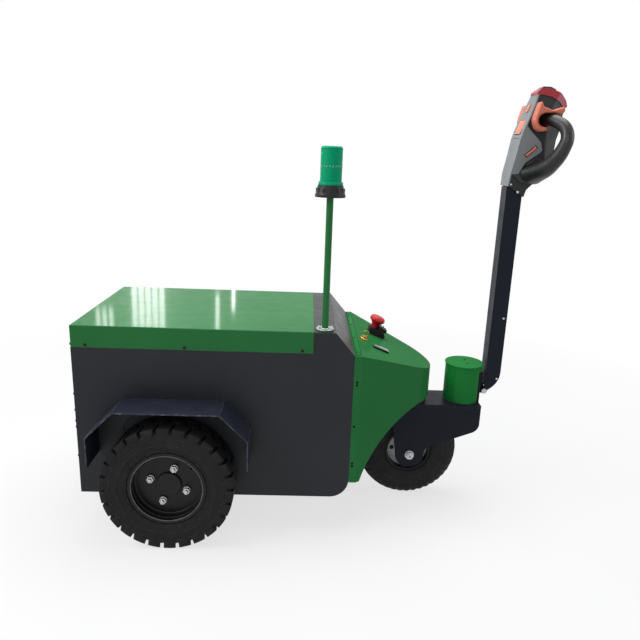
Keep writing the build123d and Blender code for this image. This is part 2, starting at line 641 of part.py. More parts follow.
def fork_chin_plate():
    """Bent plate that closes the fork's front between the cheeks."""
    rear_x = FORK_FRONT_X - CHIN_PLATE_L
    face = outline((rear_x, CHEEK_TOP_Z), (FORK_FRONT_X, CHEEK_TOP_Z),
                   (FORK_FRONT_X, FRONT_AXLE_Z + FORK_CHIN_Z, FORK_CHIN_R), (rear_x, chin_line(rear_x)))
    room = offset(face, amount=-BEAM_T, kind=Kind.INTERSECTION)
    strip = prism_y(face, -CHEEK_IN_Y, CHEEK_IN_Y)
    for back, up in ((0, 0), (1, 0), (0, 1), (1, 1)):
        strip -= Pos(-2 * BEAM_T * back, 0, 2 * BEAM_T * up) * prism_y(room, -CHEEK_IN_Y, CHEEK_IN_Y)
    return strip


def kingpin():
    """Flanged pin on the fork with its nut above the bearing."""
    z0 = FORK_TOP_Z + KINGPIN_FLANGE_T
    z1 = z0 + SEAT_GAP + STEER_HOUSING_H + SEAT_GAP
    pin = disc_z(WHEELBASE, 0, FORK_TOP_Z, z0, KINGPIN_FLANGE_D / 2)
    pin += disc_z(WHEELBASE, 0, z0, z1 + NUT_T + KINGPIN_END, KINGPIN_D / 2)
    return pin + disc_z(WHEELBASE, 0, z1, z1 + NUT_T, KINGPIN_NUT_D / 2)


def steering_beam():
    """Channel from the bulkhead to the steering bearing's housing."""
    z0 = FORK_TOP_Z + KINGPIN_FLANGE_T + SEAT_GAP
    z1 = z0 + STEER_HOUSING_H
    beam_z = z1 - BEAM_T
    half = BEAM_W / 2
    beam = block(FRONT_X, WHEELBASE, -half, half, beam_z - BEAM_H, beam_z)
    beam -= block(FRONT_X, WHEELBASE, BEAM_T - half, half - BEAM_T, beam_z - BEAM_H, beam_z - BEAM_T)
    foot_mid = beam_z - BEAM_H / 2
    beam += block(FRONT_X, FRONT_X + HEAVY_PLATE, -BEAM_FOOT_W / 2, BEAM_FOOT_W / 2,
                  foot_mid - BEAM_FOOT_H / 2, foot_mid + BEAM_FOOT_H / 2)
    beam += disc_z(WHEELBASE, 0, z0, z1, STEER_HOUSING_D / 2)
    return beam - disc_z(WHEELBASE, 0, z0, z1, KINGPIN_D / 2 + RUNNING_FIT)


def drum_shell():
    """Round housing on the fork, flat below its brow where the tiller bracket stands."""
    brow_z = DRUM_TOP_Z - DRUM_BROW
    x, top = DRUM_CENTRE_X, DRUM_TOP_Z - LID_T
    wall_r = DRUM_R - DRUM_STEP
    outer = disc_z(x, 0, FORK_TOP_Z, top, wall_r)
    outer -= block(FLAT_X, x + 2 * DRUM_R, -DRUM_R, DRUM_R, FORK_TOP_Z, brow_z)
    inner = disc_z(x, 0, FORK_TOP_Z + DRUM_WALL, top, wall_r - DRUM_WALL)
    inner -= block(FLAT_X - DRUM_WALL, x + 2 * DRUM_R, -DRUM_R, DRUM_R, FORK_TOP_Z, brow_z + DRUM_WALL)
    return outer - inner


def drum_lid():
    """Flat lid."""
    lid = disc_z(DRUM_CENTRE_X, 0, DRUM_TOP_Z - LID_T, DRUM_TOP_Z, DRUM_R)
    return fillet(lid.edges().sort_by(Axis.Z)[-1], LID_T / 4)


def tiller_bracket():
    """Plate on the drum's flat with a web and the lug for the tiller's pivot."""
    top, half = FORK_TOP_Z + BRACKET_H, LUG_W / 2
    plate = block(FLAT_X, BRACKET_X, -BRACKET_W / 2, BRACKET_W / 2, FORK_TOP_Z, top)
    web = block(BRACKET_X, ARM_REAR_X - WEB_CLEAR, -half, half, PIVOT_HEIGHT - LUG_R, top)
    lug = block(BRACKET_X, PIVOT_X, -half, half, PIVOT_HEIGHT - LUG_R, PIVOT_HEIGHT + LUG_R)
    lug += disc_y(PIVOT_X, PIVOT_HEIGHT, -half, half, LUG_R)
    return plate + web + lug - disc_y(PIVOT_X, PIVOT_HEIGHT, -LUG_W, LUG_W, PIVOT_D / 2 + RUNNING_FIT)


# ---------------------------------------------------------------- tiller
def arm_side(inset):
    """Arm in side view, set in by a wall: upright, with a round front corner and a slanting underside."""
    slope = math.radians(ARM_FOOT_SLOPE)
    front, rear = ARM_FRONT_X - inset, ARM_REAR_X + inset
    corner_z = FORK_TOP_Z + ARM_FOOT_Z + inset * math.tan((math.pi / 2 - slope) / 2)
    rear_z = corner_z - (front - rear) * math.tan(slope)
    return outline((rear, ARM_TOP - inset), (front, ARM_TOP - inset), (front, corner_z, ARM_FOOT_R - inset),
                   (rear, rear_z))


def tiller_arm():
    """Box-section arm: a slim tenon for the head, and an open foot that straddles the lug."""
    half, inner_y = ARM_W / 2, ARM_W / 2 - ARM_WALL
    arm = prism_y(arm_side(0), -half, half)
    arm += disc_y(PIVOT_X, PIVOT_HEIGHT, -half, half, ARM_HEEL_R)
    arm -= prism_y(arm_side(ARM_WALL), -inner_y, inner_y)
    arm -= block(ARM_REAR_X - ARM_DEPTH, PIVOT_X + FOOT_OPEN_X, -inner_y, inner_y,
                 FORK_TOP_Z, PIVOT_HEIGHT + FOOT_OPEN_Z)
    arm += tenon(0)
    return arm - disc_y(PIVOT_X, PIVOT_HEIGHT, -ARM_W, ARM_W, PIVOT_D / 2 + RUNNING_FIT)


def tenon(gap):
    """Slim end of the arm inside the head, grown by a gap."""
    half = ARM_W / 2 - ARM_WALL + gap
    return block(ARM_REAR_X + TENON_SET - gap, ARM_FRONT_X - ARM_WALL + gap, -half, half,
                 ARM_TOP, ARM_TOP + TENON_L + gap)


def tiller_pin():
    """Pivot pin with a head on each side."""
    out = ARM_W / 2
    pin = disc_y(PIVOT_X, PIVOT_HEIGHT, -out, out, PIVOT_D / 2)
    head = disc_y(PIVOT_X, PIVOT_HEIGHT, out, out + PIN_HEAD_T, PIVOT_D / 2 + PIN_HEAD_T)
    return pin + both_sides(head)


# Head in side view, in thousandths of its height. Columns: height above the arm's shoulder,
# forward of the arm's rear face, corner radius.
FACE_LINE = ((7, -3), (137, 7), (333, 43), (493, 67), (590, 93), (700, 133), (827, 177), (933, 210))
CORE_FRONT = ((-100, 187), (-23, 203, 60), (33, 257, 60), (73, 317, 60), (180, 397, 100),
              (383, 457, 167), (500, 467, 133), (593, 497, 67), (727, 507, 27), (800, 523, 17),
              (820, 507))
CORE_TOP = ((873, 443), (917, 357), (933, 277))
BUMPER_TOP = ((820, 553, 17), (893, 527, 60), (960, 457, 100), (997, 353, 167), (1000, 247, 53),
              (957, 203, 13))
CREST = ((987, 240), (1020, 273, 20), (1020, 353, 33), (997, 407))
WING = ((127, 7), (333, 43), (493, 67), (590, 93), (653, 117), (613, 127), (560, 180, 33),
        (503, 243, 40), (463, 283, 40), (387, 307, 20), (363, 293, 13), (253, 147), (140, 90))
THROTTLE = ((867, 197, 7), (800, 227, 20), (797, 260, 20), (773, 320, 33), (810, 430, 13),
            (803, 443, 7), (757, 440, 13), (737, 413, 13), (747, 327, 40), (750, 253, 27),
            (723, 193, 40), (677, 177, 53), (630, 193, 40), (610, 233, 20), (610, 267, 10),
            (593, 297, 10), (573, 273, 17), (563, 227, 33), (590, 183, 47), (637, 157, 47),
            (680, 147, 47), (730, 157, 67), (803, 177, 67))
# Half width of the head at heights above the shoulder, both in thousandths.
HEAD_SIDE = ((-120, 350), (0, 400), (137, 455), (467, 500), (717, 500), (827, 432), (933, 341), (1030, 284))
# Grip loop's middle line, in thousandths of the head's height. Columns: height, forward, out.
GRIP_LINE = ((683, 278, 110), (687, 338, 283), (607, 422, 417), (493, 438, 467), (327, 387, 423),
             (203, 317, 307), (140, 247, 110))
GRIP_BEND = 34.0          # radius of the loop's corners
# Grip loop's thickness: part of the way along it, times GRIP_D.
GRIP_SWELL = ((0.0, 1.0), (0.3, 1.02), (0.42, 1.06), (0.52, 1.14), (0.62, 1.25), (0.72, 1.38), (0.84, 1.54))
GRIP_STEPS = 24           # sections that the loop is built from, end to end
GRIP_ROOT = (0.135, 0.1, 16.0)  # its oval foot: half length, half height, tilt in degrees


def head_point(along, forward):
    """Point in (x, z) from a row of a head table."""
    return ARM_REAR_X + forward * HEAD_H / 1000, ARM_TOP + along * HEAD_H / 1000


def head_outline(rows):
    """Face from a table of head points."""
    placed = [(*head_point(row[0], row[1]), row[2] * HEAD_H / 1000 if len(row) > 2 else 0) for row in rows]
    return outline(*placed)


def face_rows(depth):
    """The rear face's line from the bottom up, set in by a depth."""
    shift = depth * 1000 / HEAD_H
    return tuple((along, forward + shift) for along, forward in FACE_LINE)


def head_width(proud):
    """Everything between the head's sides, seen from the rear, and inside its plan's taper."""
    right = [(HEAD_W * share / 1000 + proud, ARM_TOP + along * HEAD_H / 1000) for along, share in HEAD_SIDE]
    corners = right + [(-y, z) for y, z in reversed(right)]
    tall = make_face(Polyline([Vector(0, y, z) for y, z in corners], close=True))
    rear, far = ARM_REAR_X - HEAD_REACH, ARM_REAR_X + 2 * HEAD_REACH
    half, tip = HEAD_W / 2 + proud, HEAD_TIP_W / 2 + proud
    taper = ARM_REAR_X + HEAD_TAPER
    tip_x = ARM_REAR_X + HEAD_REACH
    plan = outline((rear, -half), (taper, -half, HEAD_TIP_W), (tip_x, -tip, tip), (tip_x + tip, -tip, 0),
                   (tip_x + tip, tip, 0), (tip_x, tip, tip), (taper, half, HEAD_TIP_W), (rear, half))
    body = Pos(rear, 0, 0) * extrude(tall, amount=far - rear, dir=(1, 0, 0))
    return body & extrude(plan, amount=2 * ARM_TOP)


def core_face():
    """Head's core in side view."""
    rear = face_rows(PANEL_T + SEAT_GAP)
    return head_outline(CORE_FRONT + CORE_TOP + tuple(reversed(rear)))


def head_core():
    """The core's outer form, not yet hollowed for the arm."""
    return prism_y(core_face(), -HEAD_W / 2, HEAD_W / 2) & head_width(0)


def head_housing():
    """Dark core of the tiller head, socketed on the arm."""
    half = ARM_W / 2 + SEAT_GAP
    arm_room = block(ARM_REAR_X - PANEL_T, ARM_FRONT_X + SEAT_GAP, -half, half, ARM_TOP - HEAD_H, ARM_TOP)
    return head_core() - arm_room - tenon(SEAT_GAP)


def head_panel():
    """Light operator panel: a strip along the rear face with a wing down each side."""
    half = HEAD_W / 2 + PANEL_T
    strip = prism_y(head_outline(face_rows(0) + tuple(reversed(face_rows(PANEL_T)))), -half, half)
    wings = prism_y(head_outline(WING), -half, half) - head_width(0)
    return (strip + wings) & head_width(PANEL_T)


def head_bumper():
    """Pressure bumper: a thick band over the tip of the head, with a raised rib along its top."""
    half = HEAD_W / 2 + BUMPER_PROUD
    under = CORE_FRONT[-1:] + CORE_TOP
    top_rear = face_rows(0)[-1:]
    band = prism_y(head_outline(under + top_rear + tuple(reversed(BUMPER_TOP))), -half, half)
    crest = prism_y(head_outline(CREST), -CREST_W / 2, CREST_W / 2)
    return (band + crest) & head_width(BUMPER_PROUD)


def grip_path():
    """Left grip loop's middle line."""
    corners = []
    for i, (along, forward, out) in enumerate(GRIP_LINE):
        x, z = head_point(along, forward)
        corners.append((Vector(x, out * HEAD_H / 1000, z), GRIP_BEND if 0 < i < len(GRIP_LINE) - 2 else 0))
    return Wire(corner_arcs(corners, closed=False))


def grip_sections(grown, upto):
    """Round sections across the loop from its root to a part of its length, grown by a gap."""
    path = grip_path()
    shares, swells = zip(*GRIP_SWELL)
    sections = []
    for step in range(GRIP_STEPS):
        share = step / GRIP_STEPS
        if share > upto:
            break
        k = max(i for i in range(len(shares)) if shares[i] <= share)
        swell = swells[k]
        if k + 1 < len(shares):
            swell += (swells[k + 1] - swells[k]) * (share - shares[k]) / (shares[k + 1] - shares[k])
        ahead = path % share
        plane = Plane(origin=path @ share, x_dir=Vector(1, 0, 0) - ahead * ahead.X, z_dir=ahead)
        sections.append(plane * Circle(GRIP_D / 2 * swell + grown))
    return sections


def grip_loop():
    """The loop as it swells towards its oval foot."""
    long, high, tilt = GRIP_ROOT
    sections = grip_sections(0, GRIP_SWELL[-1][0])
    for back in (GRIP_D / 2, 0):
        foot = Plane(origin=grip_path() @ 1 + Vector(0, back, 0), x_dir=(1, 0, 0), z_dir=(0, -1, 0))
        sections.append(foot * Rot(0, 0, tilt) * Ellipse(long * HEAD_H, high * HEAD_H))
    return loft(sections, ruled=True)


def grip(side):
    """Closed hand loop from the head's side down to its neck."""
    seam = prism_y(head_outline(WING), 0, 2 * HEAD_W)
    loop = grip_loop() - head_core() - seam
    return loop if side > 0 else mirror(loop, about=Plane.XZ)


def throttle(side):
    """Thumb paddle of the butterfly speed control, open round the grip's root."""
    y0 = HEAD_W / 2 + PANEL_T + SEAT_GAP
    paddle = prism_y(head_outline(THROTTLE), y0, y0 + THROTTLE_T)
    root = grip_path() @ 0
    x, z = root.X + THROTTLE_HUB_W, root.Z
    paddle += disc_y(x, z, HEAD_W / 2 + SEAT_GAP, y0 + THROTTLE_HUB_W, THROTTLE_HUB_R)
    paddle -= loft(grip_sections(GRIP_CLEAR, 0.5), ruled=True)
    return paddle if side > 0 else mirror(paddle, about=Plane.XZ)


# ---------------------------------------------------------------- controls on the nose, beacon
def on_nose(ahead, y):
    """Frame on the nose's slope: its z axis is the slope's normal."""
    x = NOSE_BEND_X + ahead
    slope = math.radians(NOSE_SLOPE)
    return Plane(origin=(x, y, nose_top(x)), x_dir=(math.cos(slope), 0, -math.sin(slope)),
                 z_dir=(math.sin(slope), 0, math.cos(slope))).location


def estop_base():
    """Switch block under the emergency button, raised in front of its stem."""
    stem = ESTOP_STEM_D / 2 + SEAT_GAP
    face = outline((-ESTOP_BASE_REAR, 0), (ESTOP_BASE_FRONT, 0), (ESTOP_BASE_FRONT, ESTOP_BASE_H / 2),
                   (ESTOP_BASE_FRONT / 2 + SHEET, ESTOP_BLOCK_H), (stem, ESTOP_BLOCK_H), (stem, ESTOP_BASE_H),
                   (-ESTOP_BASE_REAR, ESTOP_BASE_H))
    body = prism_y(face, -ESTOP_BASE_W / 2, ESTOP_BASE_W / 2)
    return on_nose(ESTOP_AHEAD, ESTOP_Y) * body


def estop_knob():
    """Mushroom button on its stem."""
    r, stem = ESTOP_D / 2, ESTOP_STEM_D / 2
    under = ESTOP_H - ESTOP_CAP_T
    shape = outline((0, ESTOP_BASE_H), (stem, ESTOP_BASE_H), (stem, under - SHEET, SHEET),
                    (r, under, WASHER_T), (r, ESTOP_H - ESTOP_CAP_T / 3, PLATE), (0, ESTOP_H))
    return on_nose(ESTOP_AHEAD, ESTOP_Y) * turned_z(shape)


def key_switch():
    """Ring of the key switch with the key in it."""
    r = KEY_D / 2
    top = 2 * KEY_RING_T
    ring = disc_z(0, 0, 0, KEY_RING_T, r) + disc_z(0, 0, KEY_RING_T, top, r * 2 / 3)
    bow = block(-KEY_BOW_W / 2, KEY_BOW_W / 2, -SHEET / 2, SHEET / 2, top, top + KEY_BOW_H)
    return on_nose(KEY_AHEAD, KEY_Y) * (ring + bow)


def battery_meter():
    """Charge display."""
    body = block(-METER_L / 2, METER_L / 2, -METER_W / 2, METER_W / 2, 0, METER_H)
    body = fillet(body.edges().filter_by(Axis.Z), METER_H / 2)
    return on_nose(METER_AHEAD, METER_Y) * body


def beacon_place():
    """Foot of the beacon's pole on the cowl."""
    return Pos(COVER_FRONT_X + POLE_AHEAD, POLE_INSET - SIDE_Y, COWL_TOP_Z)


def beacon_pole():
    """Tube with its foot flange."""
    pole = disc_z(0, 0, 0, POLE_H, POLE_D / 2)
    return beacon_place() * (pole + disc_z(0, 0, 0, POLE_FLANGE_T, POLE_FLANGE_D / 2))


def beacon_base():
    """Flared black base of the beacon."""
    r0, r1, z = BEACON_BASE_D / 2, BEACON_NECK_D / 2, POLE_H
    face = outline((0, z), (r0, z), (r0, z + BEACON_RIM_H, WASHER_T), (r1, z + BEACON_BASE_H),
                   (0, z + BEACON_BASE_H))
    return beacon_place() * turned_z(face)


def beacon_lens():
    """Ribbed lens with a collar at its foot."""
    z = POLE_H + BEACON_BASE_H
    r = LENS_D / 2
    collar, step = r + LENS_COLLAR_W, z + LENS_COLLAR_H
    face = outline((0, z), (collar, z), (collar, step), (r, step), (r, z + LENS_H, BEACON_RIM_H),
                   (0, z + LENS_H))
    return beacon_place() * turned_z(face)


# ---------------------------------------------------------------- tow hitch
def hitch_bracket():
    """Bolted plate, shelf and gussets behind the body."""
    plate_x = BACK_X - HITCH_T
    top = HITCH_Z + HITCH_T
    mid = HITCH_Z + HITCH_T / 2
    bracket = block(plate_x, BACK_X, -HITCH_PLATE_W / 2, HITCH_PLATE_W / 2,
                    mid - HITCH_PLATE_H / 2, mid + HITCH_PLATE_H / 2)
    shelf = block(plate_x - SHELF_L, plate_x, -SHELF_W / 2, SHELF_W / 2, HITCH_Z, top)
    shelf = fillet(shelf.edges().filter_by(Axis.Z).group_by(Axis.X)[0], SHELF_W / 3)
    gusset = outline((plate_x, HITCH_Z), (plate_x - SHELF_L * GUSSET_SHARE, HITCH_Z),
                     (plate_x, mid - HITCH_PLATE_H * GUSSET_DROP))
    rib_y = SHELF_W / 2 - GUSSET_SET
    rib = prism_y(gusset, rib_y - GUSSET_T, rib_y)
    bracket += shelf + both_sides(rib)
    x = tow_pin_x()
    return bracket - disc_z(x, 0, HITCH_Z, top, TOW_PIN_D / 2 + RUNNING_FIT)


def tow_pin_x():
    """Middle of the tow pin."""
    return BACK_X - HITCH_T - SHELF_L + SHELF_W / 3 + SHELF_EDGE


def hitch_pin():
    """Tow pin: collar on the shelf, free upper end and a nut below."""
    x, top = tow_pin_x(), HITCH_Z + HITCH_T
    tip = top + TOW_PIN_COLLAR_T + TOW_PIN_FREE
    pin = disc_z(x, 0, HITCH_Z - TOW_NUT_T - TOW_PIN_END, tip, TOW_PIN_D / 2)
    pin = chamfer(pin.edges().sort_by(Axis.Z)[-1], TOW_PIN_CHAMFER)
    pin += disc_z(x, 0, top, top + TOW_PIN_COLLAR_T, TOW_PIN_COLLAR_D / 2)
    nut = extrude(RegularPolygon(TOW_NUT_W / 2, 6, major_radius=False), amount=TOW_NUT_T)
    return pin + Pos(x, 0, HITCH_Z - TOW_NUT_T) * nut


# ---------------------------------------------------------------- assembly
def all_parts():
    """Every node's solid, in the rear axle's frame."""
    parts = {
        "chassis_tub": chassis_tub(), "cowl_cap": cowl_cap(), "battery_cover": battery_cover(),
        "nose_cover": nose_cover(), "steering_beam": steering_beam(), "axle_housing": axle_housing(),
        "drive_motor": drive_motor(), "battery_pack": battery_pack(), "beacon_pole": beacon_pole(),
        "beacon_base": beacon_base(), "beacon_lens": beacon_lens(), "estop_base": estop_base(),
        "estop_knob": estop_knob(), "key_switch": key_switch(), "battery_meter": battery_meter(),
        "hitch_bracket": hitch_bracket(), "hitch_pin": hitch_pin(), "fork_top_plate": fork_top_plate(),
        "fork_chin_plate": fork_chin_plate(), "kingpin": kingpin(), "drum_shell": drum_shell(),
        "drum_lid": drum_lid(), "tiller_bracket": tiller_bracket(), "front_axle": front_axle(),
        "front_tyre": front_tyre(), "front_rim": front_rim(), "tiller_arm": tiller_arm(),
        "tiller_pin": tiller_pin(), "head_housing": head_housing(), "head_panel": head_panel(),
        "head_bumper": head_bumper(),
    }
    tyre, rim, hub = rear_tyre(), rear_rim(), rear_hub()
    for name, side in (("left", 1), ("right", -1)):
        parts[f"rear_tyre_{name}"] = rear_wheel_place(tyre, side)
        parts[f"rear_rim_{name}"] = rear_wheel_place(rim, side)
        parts[f"rear_hub_{name}"] = rear_wheel_place(hub, side)
        parts[f"fender_{name}"] = fender(side)
        parts[f"fork_cheek_{name}"] = fork_cheek(side)
        parts[f"grip_{name}"] = grip(side)
        parts[f"throttle_{name}"] = throttle(side)
    return parts


def middle_x(parts):
    """Middle of the whole tug's length, which becomes x = 0."""
    boxes = [piece.bounding_box() for piece in parts.values()]
    return (min(box.min.X for box in boxes) + max(box.max.X for box in boxes)) / 2


PARTS = all_parts()
ORIGIN_X = middle_x(PARTS)
os.makedirs("parts", exist_ok=True)
for node, piece in PARTS.items():
    export_step(Pos(-ORIGIN_X, 0, 0) * piece, f"parts/{node}.step")
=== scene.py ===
import math
import random

import bmesh
import bpy
from mathutils import Matrix, Vector

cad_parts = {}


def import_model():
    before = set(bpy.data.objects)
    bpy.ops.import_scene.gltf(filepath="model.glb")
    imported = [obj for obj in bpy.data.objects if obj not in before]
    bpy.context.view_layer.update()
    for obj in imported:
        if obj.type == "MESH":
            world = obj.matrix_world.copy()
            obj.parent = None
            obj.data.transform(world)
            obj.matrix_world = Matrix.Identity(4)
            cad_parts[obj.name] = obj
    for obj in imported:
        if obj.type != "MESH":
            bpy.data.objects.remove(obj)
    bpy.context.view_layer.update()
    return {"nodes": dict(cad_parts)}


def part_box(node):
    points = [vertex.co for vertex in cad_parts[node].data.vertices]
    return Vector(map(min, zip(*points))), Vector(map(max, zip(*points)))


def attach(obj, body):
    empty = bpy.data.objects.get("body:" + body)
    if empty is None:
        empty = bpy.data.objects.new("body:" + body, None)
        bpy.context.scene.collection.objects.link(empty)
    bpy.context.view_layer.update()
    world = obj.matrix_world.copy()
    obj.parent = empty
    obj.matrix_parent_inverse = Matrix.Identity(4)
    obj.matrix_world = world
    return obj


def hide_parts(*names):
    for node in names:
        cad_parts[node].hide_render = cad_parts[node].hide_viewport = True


# Walk-behind electric tow tug. Lengths are in millimetres from the rear axle, on the floor:
# x forward, y to the left, z up. place() turns them into the row frame's metres.
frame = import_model()
CAD = frame["nodes"]
random.seed(7)

MM = 0.001
UP = (0, 0, 1)
BACK = (-1, 0, 0)
SIDES = ((1, "left"), (-1, "right"))

BODY_SIDE = 270.0                  # outside of the tub and the covers
NOSE_TOP = 602.0                   # the nose's level strip
NOSE_BEND_X = 574.3                # where its slope begins
NOSE_SLOPE = math.radians(21.8)
REAR_R, REAR_Y = 200.0, 328.0      # rear tyre's radius and middle
REAR_DISC = 9.0                    # disc's face, outboard of the tyre's middle
REAR_WALL = 49.0                   # sidewall, from the tyre's middle
STUD_R, STUD_TURN = 57.15, 71.5    # stud circle's radius; first stud, in degrees
REAR_LUGS, FRONT_LUGS = 26, 42
FIRST_GROOVE = 1.5                 # degrees, of the rear tread
FRONT_X, FRONT_R = 780.0, 175.0    # front axle and tyre
ARM_REAR, SHOULDER = 1031.5, 1106.0  # rear face and upper end of the tiller's arm


def middle(node):
    """Middle of a CAD node's box, in metres."""
    low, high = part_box(node)
    return (Vector(low) + Vector(high)) / 2


AXLE = middle("rear_tyre_left").x


def place(x, y, z):
    return Vector((AXLE + x * MM, y * MM, z * MM))


# ---------------------------------------------------------------- materials
def linear(r, g, b):
    """A colour given in sRGB from 0 to 255."""
    def one(v):
        v /= 255
        return v / 12.92 if v <= 0.04045 else ((v + 0.055) / 1.055) ** 2.4
    return (one(r), one(g), one(b), 1.0)


class Nodes:
    """Short way to wire the node tree of a material or world."""

    def __init__(self, owner):
        owner.use_nodes = True
        self.tree = owner.node_tree
        self.tree.nodes.clear()

    def feed(self, socket, value):
        if isinstance(value, bpy.types.NodeSocket):
            self.tree.links.new(value, socket)
        else:
            socket.default_value = value

    def add(self, kind, inputs=None, **settings):
        node = self.tree.nodes.new(kind)
        for key, value in settings.items():
            setattr(node, key, value)
        for key, value in (inputs or {}).items():
            self.feed(node.inputs[key], value)
        return node

    def math(self, operation, a, b=0.0, clamp=False):
        return self.add("ShaderNodeMath", {0: a, 1: b}, operation=operation, use_clamp=clamp).outputs[0]

    def noise(self, where, scale, detail):
        inputs = {"Vector": where, "Scale": scale, "Detail": detail}
        return self.add("ShaderNodeTexNoise", inputs).outputs["Fac"]

    def spread(self, value, low, high, to_low=0.0, to_high=1.0):
        return self.add("ShaderNodeMapRange", {"Value": value, "From Min": low, "From Max": high,
                                              "To Min": to_low, "To Max": to_high}).outputs[0]

    def blend(self, share, a, b):
        mix = self.add("ShaderNodeMix", data_type="RGBA")
        for socket, value in ((0, share), (6, a), (7, b)):
            self.feed(mix.inputs[socket], value)
        return mix.outputs[2]


DUST = linear(120, 112, 100)
DUST_TOP = 0.45      # metres, above which little dust lies
COAT_ROUGH = 0.08


def finish_material(name, colour, rough, edge_wear_and_highlight=None, edge_wear_and_highlight_amount=0.5, metal=0.0, drift=0.10, grain=900.0,
                    grain_depth=0.02, edge=1.2, dust=0.0, ripple=0.0, coat=0.0, specular=0.5):
    """Procedural finish: drifting colour, fine grain, lighter edges that are wear on some finishes and a
    painted highlight on others, and settled dust.
    """
    material = bpy.data.materials.new(name)
    n = Nodes(material)
    here = n.add("ShaderNodeTexCoord").outputs["Object"]
    patches = n.spread(n.noise(here, 4.0, 5.0), 0.3, 0.7, 1 - drift, 1 + drift)
    base = n.add("ShaderNodeHueSaturation", {"Value": patches, "Color": linear(*colour)}).outputs[0]
    fine = n.noise(here, grain, 2.0)
    cloud = n.noise(here, 22.0, 4.0)
    round_edge = n.add("ShaderNodeBevel", {"Radius": edge * MM}, samples=6).outputs[0]
    flat = n.add("ShaderNodeNewGeometry").outputs["Normal"]
    # Lighter colour along rounded edges: wear, and a painted edge highlight on the fender, fork and tyres.
    if edge_wear_and_highlight:
        same = n.add("ShaderNodeVectorMath", {0: round_edge, 1: flat}, operation="DOT_PRODUCT")
        broken = n.spread(n.noise(here, 60.0, 4.0), 0.42, 0.62)
        mask = n.math("MULTIPLY", n.spread(same.outputs["Value"], 0.995, 0.90), broken, clamp=True)
        base = n.blend(n.math("MULTIPLY", mask, edge_wear_and_highlight_amount), base, linear(*edge_wear_and_highlight))
    if dust:
        up = n.add("ShaderNodeSeparateXYZ", {0: flat}).outputs[2]
        height = n.add("ShaderNodeSeparateXYZ", {0: here}).outputs[2]
        low = n.spread(height, DUST_TOP, 0.0, 0.15, 1.0)
        lying = n.math("MULTIPLY", n.spread(up, -0.4, 1.0, 0.25, 1.0), n.spread(cloud, 0.35, 0.75))
        lying = n.math("MULTIPLY", n.math("MULTIPLY", lying, low), dust, clamp=True)
        base = n.blend(lying, base, DUST)
    gloss = n.spread(cloud, 0.3, 0.7, rough * 0.85, rough * 1.2)
    gloss = n.math("ADD", gloss, n.spread(fine, 0.3, 0.7, -0.03, 0.03), clamp=True)
    normal = n.add("ShaderNodeBump", {"Strength": 1.0, "Distance": grain_depth * MM, "Height": fine,
                                      "Normal": round_edge}).outputs[0]
    if ripple:
        normal = n.add("ShaderNodeBump", {"Strength": 1.0, "Distance": ripple * MM,
                                          "Height": n.noise(here, 7.0, 2.0), "Normal": normal}).outputs[0]
    shader = n.add("ShaderNodeBsdfPrincipled", {"Base Color": base, "Roughness": gloss, "Normal": normal,
                                               "Metallic": metal, "Specular IOR Level": specular,
                                               "Coat Weight": coat, "Coat Roughness": COAT_ROUGH})
    n.add("ShaderNodeOutputMaterial", {"Surface": shader.outputs[0]})
    return material


STEEL = (150, 150, 152)
PRIMER = (105, 107, 110)
WORN_GREEN = (95, 160, 100)
SMOOTH_PAINT = dict(grain=220.0, grain_depth=0.008, drift=0.05)
